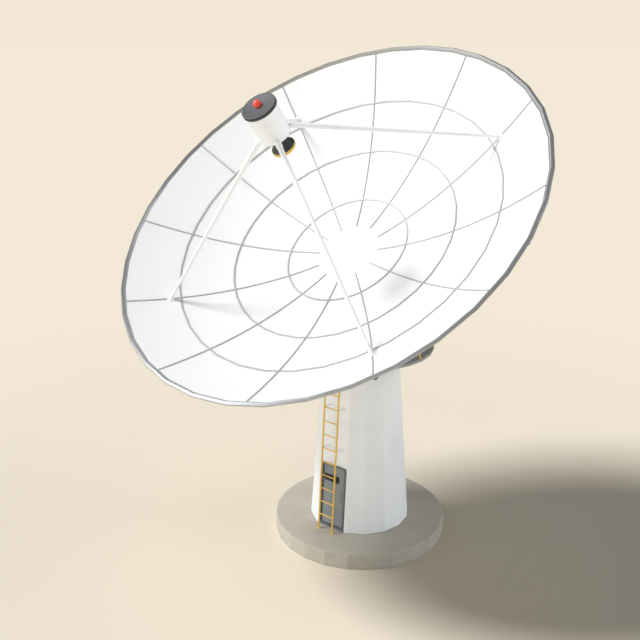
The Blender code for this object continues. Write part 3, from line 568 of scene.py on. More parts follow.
def start_material(name, metallic=0.0):
    """A material with its Principled shader; a uniform value goes on the shader's own socket."""
    made = bpy.data.materials.new(name)
    made.use_nodes = True
    shader = made.node_tree.nodes["Principled BSDF"]
    shader.inputs["Metallic"].default_value = metallic
    return made, made.node_tree, shader


def paint(name, clean, dirt, patches, runs, roughness, metallic=0.0, bump=0.02, wear=None, tread=False):
    """Weathered paint, with worn edges showing another colour where wear gives (colour, width, amount)."""
    made, tree, shader = start_material(name, metallic)
    looks = {"Clean": (*clean, 1.0), "Dirt": (*dirt, 1.0), "Patches": patches, "Runs": runs}
    group = put(tree, "ShaderNodeGroup", {**looks, "Roughness": roughness}, node_tree=WEATHER).outputs
    colour, height, distance = group["Color"], group["Height"], 0.001
    if wear:
        shown, width, amount = wear
        edges = put(tree, "ShaderNodeGroup", {"Width": width, "Amount": amount}, node_tree=WEAR)
        colour = mixed(tree, edges.outputs["Mask"], colour, (*shown, 1.0))
    if tread:
        pattern = put(tree, "ShaderNodeGroup", node_tree=TREAD).outputs["Height"]
        height, distance = math_of(tree, "MULTIPLY_ADD", height, 0.05, pattern), 0.0025
    tree.links.new(colour, shader.inputs["Base Color"])
    tree.links.new(group["Roughness"], shader.inputs["Roughness"])
    add_relief(tree, shader, bump, distance, height)
    return made


def make_concrete():
    """The slab's concrete: the cast concrete group in the slab's two tones."""
    made, tree, shader = start_material("cast concrete")
    tones = {"Light": (0.475, 0.440, 0.372, 1.0), "Dark": (0.330, 0.308, 0.262, 1.0)}
    group = put(tree, "ShaderNodeGroup", tones, node_tree=CONCRETE).outputs
    tree.links.new(group["Color"], shader.inputs["Base Color"])
    tree.links.new(group["Roughness"], shader.inputs["Roughness"])
    add_relief(tree, shader, 0.5, 0.003, group["Height"])
    return made


def make_galvanised():
    """Zinc on steel: small flakes, each a little lighter or darker and smoother or rougher."""
    made, tree, shader = start_material("galvanised steel", 0.85)
    flakes = put(tree, "ShaderNodeTexVoronoi", {"Vector": coordinates(tree), "Scale": 190.0})
    shade = put(tree, "ShaderNodeSeparateColor", {0: flakes.outputs["Color"]}).outputs[0]
    colour = mixed(tree, shade, (0.42, 0.44, 0.46, 1.0), (0.60, 0.62, 0.63, 1.0))
    tree.links.new(colour, shader.inputs["Base Color"])
    tree.links.new(ramp(tree, shade, 0.0, 1.0, 0.32, 0.5), shader.inputs["Roughness"])
    return made


def make_lens():
    """Red moulded plastic with fine ribs that run round the dome."""
    made, tree, shader = start_material("red beacon lens")
    shader.inputs["Coat Weight"].default_value = 0.5
    shader.inputs["Coat Roughness"].default_value = 0.08
    place = coordinates(tree)
    ribs = put(tree, "ShaderNodeTexWave", {"Vector": place, "Scale": 26.0, "Distortion": 0.0},
               bands_direction="Z", wave_profile="SIN").outputs["Fac"]
    cloud = noise(tree, place, 9.0, 3.0)
    colour = mixed(tree, cloud, (0.95, 0.072, 0.046, 1.0), (0.99, 0.115, 0.075, 1.0))
    tree.links.new(colour, shader.inputs["Base Color"])
    tree.links.new(ramp(tree, cloud, 0.3, 0.7, 0.22, 0.34), shader.inputs["Roughness"])
    add_relief(tree, shader, 0.25, 0.002, ribs)
    return made


STEEL = (0.45, 0.46, 0.47)
concrete = make_concrete()
galvanised = make_galvanised()
beacon_lens = make_lens()
reflector_white = paint("reflector white", (0.81, 0.81, 0.805), (0.60, 0.59, 0.56), 0.10, 0.04, 0.55,
                        bump=0.012)
panel_back = paint("panel back", (0.72, 0.73, 0.73), (0.45, 0.43, 0.40), 0.25, 0.15, 0.5)
mast_white = paint("mast white", (0.85, 0.87, 0.875), (0.46, 0.44, 0.39), 0.12, 0.13, 0.5,
                   wear=((0.5, 0.48, 0.45), 0.004, 0.3))
strut_white = paint("strut white", (0.87, 0.88, 0.88), (0.50, 0.48, 0.45), 0.15, 0.1, 0.42, bump=0.015)
seam_grey = paint("seam grey", (0.45, 0.465, 0.455), (0.25, 0.25, 0.24), 0.2, 0.05, 0.5, 0.2)
hoop_grey = paint("hoop grey", (0.50, 0.505, 0.51), (0.30, 0.30, 0.29), 0.15, 0.1, 0.40, 0.85, 0.015)
frame_enamel = paint("frame enamel", (0.20, 0.215, 0.225), (0.27, 0.25, 0.225), 0.3, 0.2, 0.45, 0.1, 0.03,
                     (STEEL, 0.005, 0.35))
machine_grey = paint("machine grey", (0.20, 0.225, 0.24), (0.12, 0.11, 0.10), 0.3, 0.3, 0.4, 0.25, 0.03,
                     (STEEL, 0.005, 0.4))
deck_grey = paint("deck grey", (0.28, 0.305, 0.33), (0.19, 0.18, 0.17), 0.4, 0.1, 0.5, 0.15, 0.6, tread=True)
deck_edge = paint("deck edge", (0.33, 0.355, 0.375), (0.18, 0.17, 0.16), 0.3, 0.2, 0.45, 0.4, 0.02,
                  (STEEL, 0.005, 0.5))
safety_yellow = paint("safety yellow", (0.82, 0.50, 0.075), (0.33, 0.20, 0.08), 0.25, 0.15, 0.42, 0.0, 0.03,
                      (STEEL, 0.004, 0.6))
door_grey = paint("door grey", (0.245, 0.27, 0.275), (0.12, 0.12, 0.12), 0.25, 0.25, 0.45, 0.1, 0.03,
                  (STEEL, 0.004, 0.4))
door_dark = paint("door frame grey", (0.150, 0.163, 0.170), (0.16, 0.15, 0.14), 0.2, 0.2, 0.45, 0.1, 0.03,
                  (STEEL, 0.004, 0.4))
# Near-black for the vent: on its back sheet it is painted shade for the opening behind the blades, and the
# rim and blades are black as well
vent_black_shade = paint("vent black with painted shade", (0.030, 0.033, 0.038), (0.07, 0.065, 0.06), 0.3, 0.2, 0.5)
cap_grey = paint("cap grey", (0.086, 0.091, 0.094), (0.20, 0.19, 0.18), 0.2, 0.05, 0.6, bump=0.05)
# Near-black on the band round the lid's side, which has a seal's shape: the black is painted shade for that
# side
seal_side_shade_black = paint("seal black with painted side shade", (0.038, 0.041, 0.042), (0.08, 0.08, 0.075), 0.2, 0.05, 0.7, bump=0.01)
horn_grey = paint("horn grey", (0.058, 0.064, 0.072), (0.10, 0.10, 0.10), 0.15, 0.05, 0.38, 0.5, 0.01)
horn_yellow = paint("horn yellow", (0.72, 0.47, 0.06), (0.45, 0.30, 0.08), 0.15, 0.05, 0.36, 0.1, 0.02,
                    (STEEL, 0.004, 0.4))
grout = paint("grey grout", (0.27, 0.26, 0.235), (0.15, 0.14, 0.13), 0.3, 0.1, 0.85, bump=0.2)


# Slab and tower

def polygon_reach(angles, sides, cut):
    """How far a regular polygon reaches, as a share of its corners' reach; a cut rounds each corner off.

    In a side's own direction d the reach is cos(pi / n) / cos(d), held at 1 - cut.
    """
    step = 360.0 / sides
    side = np.radians((np.asarray(angles) % step) - step / 2)
    return np.minimum(math.cos(math.pi / sides) / np.cos(side), 1.0 - cut)


def tower_radius(z):
    """The reach of the tower's corners, which falls evenly with height."""
    return TOWER_FOOT_RADIUS - TOWER_TAPER * (z - SLAB_HEIGHT)


def tower_points(angles, z, cut, inward=0.0):
    """Points on the many-sided cone: r (sin t, -cos t) at angles t from the front, in rows of heights."""
    z = np.atleast_1d(np.asarray(z, float))[:, None]
    radius = tower_radius(z) * cut - inward
    t = np.radians(angles)
    return np.stack([radius * np.sin(t), -radius * np.cos(t), np.broadcast_to(z, radius.shape)], axis=-1)


def front_sheet(across, heights):
    """A flat sheet in the front facet's plane, y = -r cos 22.5, from a row of x for each height."""
    front = np.broadcast_to(-tower_radius(heights)[:, None] * FRONT_COSINE, across.shape)
    grid = np.stack([across, front, np.broadcast_to(heights[:, None], across.shape)], axis=-1)
    return sheet(grid, grid + (0.0, TOWER_WALL, 0.0))


def build_slab():
    """The slab, a profile with a chamfered top edge carried round, and the grout round the tower's foot."""
    edge = 0.015
    profile = [
        (SLAB_RADIUS, 0.0), (SLAB_RADIUS, SLAB_HEIGHT - edge),
        (SLAB_RADIUS - edge * 0.3, SLAB_HEIGHT - edge * 0.3), (SLAB_RADIUS - edge, SLAB_HEIGHT),
        (TOWER_FOOT_RADIUS + 0.2, SLAB_HEIGHT),
    ]
    slab = lathe(profile, SLAB_SIDES)
    piece("concrete_slab", slab, "tower", "concrete", concrete, ["foundation_slab"], crease=8)
    angles = np.linspace(TOWER_FACET, 360.0 - TOWER_FACET, 57)
    reach = polygon_reach(angles, TOWER_SIDES, 0.0)
    section = [(0.0005, -0.010), (0.010, -0.001), (0.010, 0.004), (0.0005, 0.004)]
    loops = [tower_points(angles, SLAB_HEIGHT + height, reach, inward)[0] for height, inward in section]
    piece("base_grout", stack(np.stack(loops, axis=1)), "tower", "concrete", grout)


def build_wall(name, first, doorway_side):
    """Two facets, bent along their corner lines, and a flat strip towards the doorway where one is.

    A facet is a grid of tower points, with rows of angles close to its corners for the round bends.
    """
    low, high = SLAB_HEIGHT + GAP, DECK_UNDERSIDE - GAP
    offsets = np.array([0.0, 0.3, 0.6, 0.92, 4.0, 11.25, 18.5, 21.58, 21.9, 22.2])
    start = first * TOWER_FACET
    angles = np.concatenate([start + offsets, start + TOWER_FACET + offsets, [start + 2 * TOWER_FACET]])
    # The bends beside the flat front stay sharp, so that they meet the door wall
    front = np.abs((angles + 180) % 360 - 180) < TOWER_FACET + 4
    reach = np.where(front, polygon_reach(angles, TOWER_SIDES, 0.0),
                     polygon_reach(angles, TOWER_SIDES, TOWER_CORNER_CUT))
    heights = np.linspace(low, high, 9)
    shapes = [sheet(tower_points(angles, heights, reach), tower_points(angles, heights, reach, TOWER_WALL))]
    if doorway_side:
        rows = np.array([low, DOOR_TOP + GAP])
        # Edges move apart by a hair, as those of the frame's nodes do
        edges = np.stack([np.full(2, DOOR_WIDTH / 2 + GAP), tower_radius(rows) * FRONT_SINE - GAP], axis=-1)
        shapes.append(front_sheet(doorway_side * edges, rows))
    piece("shell_" + name, joined(*shapes), "tower", "tower_paint", mast_white, ["wall_" + name], crease=25)


def build_tower():
    """Seven bent walls of two facets each, the flat wall over the door, and the welds."""
    names = ("front_right", "right", "back_right", "back", "back_left", "left", "front_left")
    for index, name in enumerate(names):
        build_wall(name, 2 * index + 1, {"front_right": 1, "front_left": -1}.get(name, 0))
    heights = np.linspace(DOOR_TOP + GAP, DECK_UNDERSIDE - GAP, 7)
    half = tower_radius(heights) * FRONT_SINE - GAP
    shape = front_sheet(half[:, None] * np.linspace(-1, 1, 5), heights)
    piece("shell_over_door", shape, "tower", "tower_paint", mast_white, ["wall_over_door"], crease=25)
    build_welds()


def build_welds():
    """Weld beads: low tubes half sunk in the shell, down each shop seam and round two site seams."""
    beads = []
    heights = np.linspace(SLAB_HEIGHT + 0.03, DECK_UNDERSIDE - 0.02, 40)
    for corner in TOWER_FACET * np.arange(3, 14, 2):
        path = tower_points([corner], heights, 1.0 - TOWER_CORNER_CUT)[:, 0]
        beads.append(tube(path, 0.0042, 6, up=(0.3, 1.0, 0.1)))
    angles = np.linspace(TOWER_FACET + 1, 359 - TOWER_FACET, 140)
    reach = polygon_reach(angles, TOWER_SIDES, TOWER_CORNER_CUT)
    for height in SITE_SEAMS:
        beads.append(tube(tower_points(angles, height, reach)[0], 0.0045, 6))
    # Only the upper seam crosses the front, as the lower one ends beside the doorway
    height = SITE_SEAMS[-1]
    half, front = tower_radius(height) * FRONT_SINE, -tower_radius(height) * FRONT_COSINE
    beads.append(tube([(-half, front, height), (half, front, height)], 0.0045, 6))
    piece("tower_welds", joined(*beads), "tower", "tower_paint", mast_white)


# Door and ladder, in the frame of the leaning front

def door_outline(half, low, high, radius):
    """Square feet and round top corners: two quarter circles above two points."""
    t = np.radians(np.linspace(0, 90, 7))
    right = np.stack([half - radius + radius * np.cos(t), high - radius + radius * np.sin(t)], axis=-1)
    left = np.stack([-half + radius - radius * np.sin(t), high - radius + radius * np.cos(t)], axis=-1)
    return np.concatenate([[(-half, low), (half, low)], right, left])


def build_door():
    """The door's frame, a band between two door outlines, with its trim; and the leaf in it.

    The leaf is a door outline carried through steps that go in and back, which sink its middle field.
    """
    half, inner = DOOR_WIDTH / 2, DOOR_WIDTH / 2 - DOOR_BAR
    high = DOOR_HEIGHT - GAP
    corner = DOOR_CORNER - DOOR_BAR / 2
    face, back = -DOOR_PROUD, DOOR_DEPTH - DOOR_PROUD
    outer = door_outline(half - GAP, 0.0005, high, DOOR_CORNER)
    surround = frame_band(outer, door_outline(inner, DOOR_SILL, high - DOOR_BAR, corner), face, back, "Y")
    over, under = 0.012, -0.02
    lip = frame_band(
        door_outline(half + over, 0.006, high + over, DOOR_CORNER + over),
        door_outline(half + under, 0.0, high + under, DOOR_CORNER + under), -0.006, -0.0005, "Y",
    )
    tread = box((-inner + 0.01, face - 0.012, DOOR_SILL - 0.004),
                (inner - 0.01, back - 0.06, DOOR_SILL + 0.003))
    piece("entrance_frame", surround, "tower", "frame_grey", door_dark, ["door_frame"], FRONT, bevel=0.003)
    piece("entrance_trim", joined(lip, tread), "tower", "frame_grey", door_dark, (), FRONT)

    leaf_half = inner - DOOR_CLEARANCE
    low, top = DOOR_SILL + DOOR_CLEARANCE, high - DOOR_BAR - DOOR_CLEARANCE
    leaf_back = back - 0.01
    leaf_front = leaf_back - LEAF_THICKNESS
    field = leaf_front + LEAF_FIELD_DEPTH
    steps = ((0.0, leaf_back), (0.0, leaf_front), (0.040, leaf_front), (0.044, field), (0.08, field))
    rings = [at_height(door_outline(leaf_half - d, low + d, top - d, max(corner - d, 0.018)), depth, "Y")
             for d, depth in steps]
    leaf = stack(np.stack(rings))
    piece("entrance_leaf", leaf, "door", "door_grey", door_grey, ["door_leaf"], FRONT, bevel=0.0015)
    build_hinges(leaf_half, leaf_back, back)
    build_vent(leaf_front)
    build_handle(leaf_half, leaf_front)


def build_hinges(leaf_half, leaf_back, back):
    """Each hinge: an upper barrel with a wing on the leaf, and a lower one with a wing on the frame."""
    x, y = -(leaf_half - 0.004), leaf_back + 0.012
    leaf_parts, frame_parts = [], []
    for middle in HINGE_HEIGHTS:
        low, high = middle - HINGE_LENGTH, middle + HINGE_LENGTH
        wing_low, wing_high = low + 0.002, high - 0.002
        leaf_parts += [
            bar((x, y, middle), (x, y, high), 0.007, 16),
            box((x, leaf_back - 0.001, middle + 0.002), (x + HINGE_WING, leaf_back + 0.006, wing_high)),
        ]
        frame_parts += [
            bar((x, y, low), (x, y, middle - GAP), 0.007, 16),
            box((x - HINGE_WING, back - 0.001, wing_low), (x, back + 0.006, middle - 0.002)),
        ]
    piece("entrance_hinges", joined(*leaf_parts), "door", "door_grey", galvanised, (), FRONT)
    piece("entrance_hinge_seats", joined(*frame_parts), "tower", "frame_grey", galvanised, (), FRONT)


def build_vent(leaf_front):
    """A raised rim, the band between two rounded boxes, over a dark back and seven sloping blades.

    The back is a near-black sheet on the leaf: painted shade for the opening behind the blades.
    """
    face = leaf_front + LEAF_FIELD_DEPTH
    middle = (VENT_ASIDE, VENT_MIDDLE)
    rim_out = rounded_box(VENT_HALF_WIDTH, VENT_HALF_HEIGHT, 0.05) + middle
    rim_in = rounded_box(VENT_HALF_WIDTH - 0.014, VENT_HALF_HEIGHT - 0.014, 0.038) + middle
    rim = frame_band(rim_out, rim_in, leaf_front - 0.008, face - GAP, "Y")
    # The back: a near-black sheet on the leaf, painted shade for the opening behind the blades
    back = prism(rim_in, face - 0.002, face - GAP, "Y")
    half = VENT_HALF_WIDTH - 0.015
    blade = repeated(box((-half, -0.011, -0.0015), (half, 0.011, 0.0015)), leaning((0.0, 0.0, 0.0), 38.0))
    heights = VENT_MIDDLE + np.linspace(-0.072, 0.072, 7)
    blades = shifted(blade, [(VENT_ASIDE, leaf_front - 0.001, height) for height in heights])
    shape = joined(rim, back, blades)
    piece("entrance_vent", shape, "door", "vent_black", vent_black_shade, ["door_vent"], FRONT)


def build_handle(leaf_half, leaf_front):
    """A pull bar on two round feet, with a lock below it: it rises by -cos t and reaches out by sin t."""
    x, seat = leaf_half - 0.09, leaf_front + 0.006
    t = np.linspace(0, math.pi, 25)
    reach = 0.045 * np.minimum(1.0, np.sin(t) * 2.2)
    path = np.stack([np.full(25, x), leaf_front - reach, HANDLE_HEIGHT - 0.075 * np.cos(t)], axis=-1)
    grip = tube(path, 0.009, 12, up=(1, 0, 0))
    feet = [bar((x, seat, z), (x, leaf_front - 0.004, z), 0.018, 20)
            for z in (HANDLE_HEIGHT - 0.075, HANDLE_HEIGHT + 0.075)]
    lock = bar((x, seat, LOCK_HEIGHT), (x, leaf_front - 0.010, LOCK_HEIGHT), 0.022, 24)
    slot = box((x - 0.002, leaf_front - 0.0115, LOCK_HEIGHT - 0.01),
               (x + 0.002, leaf_front - 0.009, LOCK_HEIGHT + 0.01))
    shape = joined(grip, *feet, lock, slot)
    piece("entrance_handle", shape, "door", "frame_grey", door_grey, ["door_handle"], FRONT)


def build_ladder():
    """Two round stringers with rungs let into them in collars, and brackets to bolted plates on the wall."""
    half, y = LADDER_HALF_WIDTH, -LADDER_STANDOFF
    foot = y * math.tan(math.radians(FRONT_LEAN)) + 0.001
    heights = np.concatenate([[foot], np.linspace(0.3, LADDER_LENGTH - 0.012, 12), [LADDER_LENGTH]])
    sizes = np.full(len(heights), STRINGER_TUBE)
    sizes[-1] = 0.018
    shapes, bolts, brackets = [], [], []
    for x in (-half, half):
        path = np.stack([np.full(len(heights), x), np.full(len(heights), y), heights], axis=-1)
        shapes.append(tube(path, sizes, 20, up=(0, 1, 0)))
        shapes.append(box((x - 0.05, y - 0.05, foot), (x + 0.05, y + 0.05, foot + 0.008)))
        bolts.append(standing(bolt(0.018), [(x + aside, y, foot + 0.008) for aside in (-0.037, 0.037)]))
        for height in BRACKET_HEIGHTS:
            brackets.append(bar((x, y, height), (x, -0.001, height), 0.0144, 14))
            brackets.append(box((x - 0.035, -0.009, height - 0.05), (x + 0.035, -0.0005, height + 0.05)))
            shapes.append(standing(lathe([(0.031, -0.02), (0.031, 0.02)], 20), (x, y, height)))
            spots = [(x, -0.009, height + above) for above in (-0.036, 0.036)]
            bolts.append(standing(bolt(0.016), spots, (0, -1, 0)))
    rung = bar((-half, 0, 0), (half, 0, 0), 0.018, 14)
    collars = [bar((side * (half - 0.030), 0, 0), (side * (half - 0.022), 0, 0), 0.022, 14)
               for side in (-1, 1)]
    rises = RUNG_FIRST + RUNG_STEP * np.arange(RUNG_COUNT)
    shapes.append(shifted(joined(rung, *collars), [(0.0, y, rise) for rise in rises]))
    piece("service_ladder", joined(*shapes), "tower", "safety_yellow", safety_yellow, ["ladder"], FRONT)
    piece("ladder_brackets", joined(*brackets), "tower", "tower_paint", mast_white, (), FRONT)
    piece("ladder_bolts", joined(*bolts), "tower", "tower_paint", mast_white, (), FRONT)


# Deck and railing

def hatch_outline(grow=0.0):
    """The hatch's four corners, moved out by an amount."""
    x, front, back = HATCH_HALF_WIDTH + grow, HATCH_FRONT - grow, HATCH_BACK + grow
    return np.array([(x, front), (x, back), (-x, back), (-x, front)])


def build_deck():
    """A thin tread plate on an edge channel, with flat joists below that run from the tower to the edge."""
    low, joist_low, plate_low = DECK_UNDERSIDE, DECK_UNDERSIDE + 0.002, DECK_TOP - DECK_LIP
    inner = circle(DECK_RADIUS - DECK_LIP, DECK_SIDES)
    tower = tower_radius(DECK_UNDERSIDE) + 0.01
    frame_parts = [
        frame_band(circle(DECK_RADIUS, DECK_SIDES), inner, low, DECK_TOP),
        frame_band(inner, circle(DECK_RADIUS - 0.05, DECK_SIDES), low, low + DECK_LIP),
        frame_band(hatch_outline(DECK_LIP), hatch_outline(), low, DECK_TOP),
        frame_band(circle(tower + 0.03, 48), circle(tower - 0.01, 48), joist_low, plate_low),
    ]
    # Two joists that would cross the hatch are left out, and two ways beside it carry the plate instead
    joist_turns = np.arange(15.0, 360.0, 30.0)
    joist_turns = joist_turns[np.abs(joist_turns - 270) >= 20]
    joist = box((tower - 0.1, -0.005, joist_low), (DECK_RADIUS - 0.025, 0.005, plate_low))
    frame_parts.append(turned(joist, joist_turns))
    frame_parts += [box((x - 0.005, -1.98, joist_low), (x + 0.005, -1.02, plate_low)) for x in (-0.39, 0.39)]
    piece("deck_plate", deck_plate(plate_low), "tower", "deck_grey", deck_grey, ["platform_deck"], crease=20)
    piece("deck_frame", joined(*frame_parts), "tower", "deck_grey", deck_edge)
    bolts = bolt_circle(DECK_RADIUS - 0.035, 48, DECK_TOP, 0.016, 3.75)
    piece("deck_bolts", bolts, "tower", "deck_grey", galvanised)


def deck_plate(low):
    """The plate between the hatch and the edge: both are cut by the same rays from the hatch's middle.

    A ray leaves the hatch after the shorter of its ways to x and to y, and the edge through the nearest
    of the sides ahead of it, after the distance to that side over the cosine between them.
    """
    middle = np.array([0.0, (HATCH_FRONT + HATCH_BACK) / 2])
    outer = circle(DECK_RADIUS - 0.004, DECK_SIDES)
    targets = np.concatenate([outer, hatch_outline()])
    t = np.sort(np.unique(np.round(np.arctan2(*(targets - middle).T[::-1]), 6)))
    rays = np.stack([np.cos(t), np.sin(t)], axis=-1)
    half = np.array([HATCH_HALF_WIDTH, (HATCH_BACK - HATCH_FRONT) / 2])
    inside = middle + rays * (half / np.maximum(np.abs(rays), 1e-9)).min(axis=1)[:, None]
    sides = np.roll(outer, -1, axis=0) - outer
    normals = np.stack([sides[:, 1], -sides[:, 0]], axis=-1)
    gain = rays @ normals.T
    distance = ((outer - middle) * normals).sum(axis=1)[None] / np.where(gain > 1e-9, gain, np.nan)
    outside = middle + rays * np.nanmin(distance, axis=1)[:, None]
    return frame_band(outside, inside, low, DECK_TOP)


def build_railing():
    """Two rails round the deck on posts with bolted feet.

    A rail is a tube along the deck's polygon, whose corners are bent over short arcs.
    """
    angles = np.linspace(0, 360, DECK_SIDES, endpoint=False)
    bends = (angles[:, None] + np.array([-1.2, -0.6, 0.0, 0.6, 1.2])).ravel()
    t = np.radians(bends)
    reach = RAILING_RADIUS * polygon_reach(bends, DECK_SIDES, 0.0012)
    line = np.stack([reach * np.cos(t), reach * np.sin(t)], axis=-1)
    shapes = [tube(at_height(line, DECK_TOP + height), size, 12, closed=True)
              for height, size in ((RAILING_HEIGHT, 0.024), (RAILING_HEIGHT / 2, 0.020))]
    post = joined(
        lathe([(0.0216, 0.0), (0.0216, RAILING_HEIGHT - 0.01)], 16),
        lathe([(0.055, 0.0005), (0.055, 0.008), (0.030, 0.010), (0.026, 0.022)], 20),
        lathe([(0.030, RAILING_HEIGHT / 2 - 0.03), (0.030, RAILING_HEIGHT / 2 + 0.03)], 16),
    )
    spots = at_height(circle(RAILING_RADIUS, POST_COUNT), DECK_TOP)
    shapes.append(standing(post, spots))
    piece("deck_railing", joined(*shapes), "tower", "safety_yellow", safety_yellow, ["platform_railing"])
    corners = at_height(circle(0.04, 4), 0.009)
    bolts = standing(bolt(0.014), (spots[:, None] + corners[None]).reshape(-1, 3))
    piece("railing_bolts", bolts, "tower", "frame_grey", galvanised)


# Azimuth head

def motor_shape(radius, length):
    """A finned motor on its flange along +Z: a body, 18 thin fins round it, a fan cowl and a terminal box."""
    body = lathe([(radius * 0.80, 0.0), (radius * 0.80, length * 0.8)], 32)
    flange = lathe([(radius, 0.0), (radius, 0.018), (radius * 0.85, 0.024)], 32)
    cowl = lathe([
        (radius * 0.97, length * 0.74), (radius * 0.97, length * 0.95), (radius * 0.88, length),
        (radius * 0.3, length),
    ], 32)
    fin = box((radius * 0.76, -0.0028, 0.03), (radius * 0.96, 0.0028, length * 0.73))
    half = radius * 0.42
    terminal = box((radius * 0.7, -half, length * 0.3), (radius * 1.32, half, length * 0.58))
    return joined(body, flange, cowl, turned(fin, 20.0 * np.arange(18)), terminal)


def clear_of_feet(around):
    """The points of a ring that stand clear of the yoke's feet and the azimuth drive."""
    x, y = around[:, 0], around[:, 1]
    beside_arms = (np.abs(np.abs(x) - ARM_MIDDLE) > 0.13) & (np.abs(y) > 0.20)
    return around[beside_arms & (np.hypot(x, y - AZIMUTH_MOTOR_BEHIND) > 0.21)]


def build_turntable():
    """The slewing ring, the disc on it and the azimuth drive: each a profile carried round its axis."""
    low, high = DECK_TOP + GAP, BEARING_TOP
    ring = [
        (0.60, low), (0.905, low), (0.92, DECK_TOP + 0.012), (0.92, DECK_TOP + 0.045),
        (0.86, DECK_TOP + 0.052), (0.86, 6.035), (0.895, 6.042), (0.895, high), (0.60, high),
    ]
    bearing = lathe(ring, 96, closed=True)
    piece("slewing_bearing", bearing, "tower", "machine_grey", machine_grey, ["azimuth_bearing"])
    teeth = turned(box((0.852, -0.009, 5.965), (0.884, 0.009, 6.03)), 3.0 * np.arange(120))
    piece("slewing_teeth", teeth, "tower", "machine_grey", galvanised)
    anchors = bolt_circle(0.895, 36, DECK_TOP + 0.0455, 0.022)
    piece("bearing_bolts", anchors, "tower", "machine_grey", galvanised)

    low, high = TABLE_UNDERSIDE + GAP, TABLE_TOP
    disc = [
        (0.02, low - 0.10), (0.593, low - 0.10), (0.593, low), (0.96, low), (0.985, low + 0.012),
        (1.0, low + 0.03), (1.0, high - 0.008), (0.992, high), (0.02, high),
    ]
    table = lathe(disc, 96)
    piece("turntable_disc", table, "azimuth_head", "machine_grey", machine_grey, ["azimuth_turntable"])
    bolts = [standing(bolt(size), at_height(clear_of_feet(circle(radius, count, turn)), high))
             for radius, count, turn, size in ((0.955, 40, 0.0, 0.020), (0.52, 16, 11.25, 0.024))]
    piece("turntable_bolts", joined(*bolts), "azimuth_head", "machine_grey", galvanised)

    gearbox = [
        (0.02, GAP), (0.17, GAP), (0.17, 0.02), (0.15, 0.026), (0.15, 0.115), (0.165, 0.122), (0.165, 0.145),
        (0.13, 0.155), (0.02, 0.155),
    ]
    motor = shifted(motor_shape(0.12, 0.31), [(0.0, 0.0, 0.15)])
    drive = joined(lathe(gearbox, 40), motor, bolt_circle(0.16, 8, 0.0205, 0.014))
    drive = standing(drive, (0.0, AZIMUTH_MOTOR_BEHIND, high))
    piece("azimuth_motor", drive, "azimuth_head", "steel_dark", frame_enamel, ["azimuth_drive"])


def yoke_outline():
    """Two straight legs that run into a round boss about the axle: r (cos t, sin t) over 200 degrees."""
    t = np.radians(-10 + 200 * np.linspace(0, 1, 25))
    boss = ARM_BOSS_RADIUS * np.stack([np.cos(t), np.sin(t)], axis=-1) + (0.0, PIVOT_HEIGHT)
    return np.concatenate([[(-0.42, TABLE_TOP + GAP), (0.42, TABLE_TOP + GAP)], boss])


def build_yoke():
    """Each arm: a thin web inside a rim along its outline, a bearing housing and stiffeners; and the beam."""
    outline = yoke_outline()
    inner = inset(outline, ARM_RIM)
    # The bearing's hole has a point for each point of the outline, in the same direction from the axle
    hole = unit(inner - (0.0, PIVOT_HEIGHT)) * 0.20 + (0.0, PIVOT_HEIGHT)
    housing = lathe([
        (0.118, -0.0895), (0.195, -0.0895), (0.21, -0.075), (0.21, 0.075), (0.195, 0.0895), (0.118, 0.0895),
    ], 48, closed=True)
    for side, name in ((-1, "left"), (1, "right")):
        low, high = sorted((side * ARM_INNER, side * ARM_OUTER))
        middle = side * ARM_MIDDLE
        shapes = [
            frame_band(outline, inner, low, high, "X"),
            frame_band(inner, hole, middle - 0.016, middle + 0.016, "X"),
            standing(housing, (middle, 0.0, PIVOT_HEIGHT), (1, 0, 0)),
        ]
        for near, far in ((low + 0.004, middle - 0.014), (middle + 0.014, high - 0.004)):
            shapes.append(box((near, -0.010, TABLE_TOP + 0.03), (far, 0.010, PIVOT_HEIGHT - 0.205)))
            shapes += [box((near, -half, z - 0.008), (far, half, z + 0.008))
                       for z, half in ((6.78, 0.31), (7.26, 0.24))]
        piece(f"yoke_{name}", joined(*shapes), "azimuth_head", "tower_paint", mast_white,
              [f"yoke_arm_{name}"], bevel=0.003)
        spots = at_height(circle(0.165, 12, 15) + (0.0, PIVOT_HEIGHT), side * 0.797, "X")
        bolts = standing(bolt(0.020), spots, (-side, 0, 0))
        piece(f"yoke_bolts_{name}", bolts, "azimuth_head", "tower_paint", galvanised)
    seat, end = TABLE_TOP + GAP, ARM_INNER - GAP
    shapes = [prism(rounded_box(0.16, 0.14, 0.03) + (0.0, seat + 0.14), -end, end, "X")]
    for side in (-1, 1):
        flange = rounded_box(0.175, 0.155, 0.03) + (0.0, seat + 0.155)
        shapes.append(prism(flange, *sorted((side * 0.79, side * end)), "X"))
    piece("yoke_beam", joined(*shapes), "azimuth_head", "tower_paint", mast_white, ["yoke_cross_beam"],
          bevel=0.002)


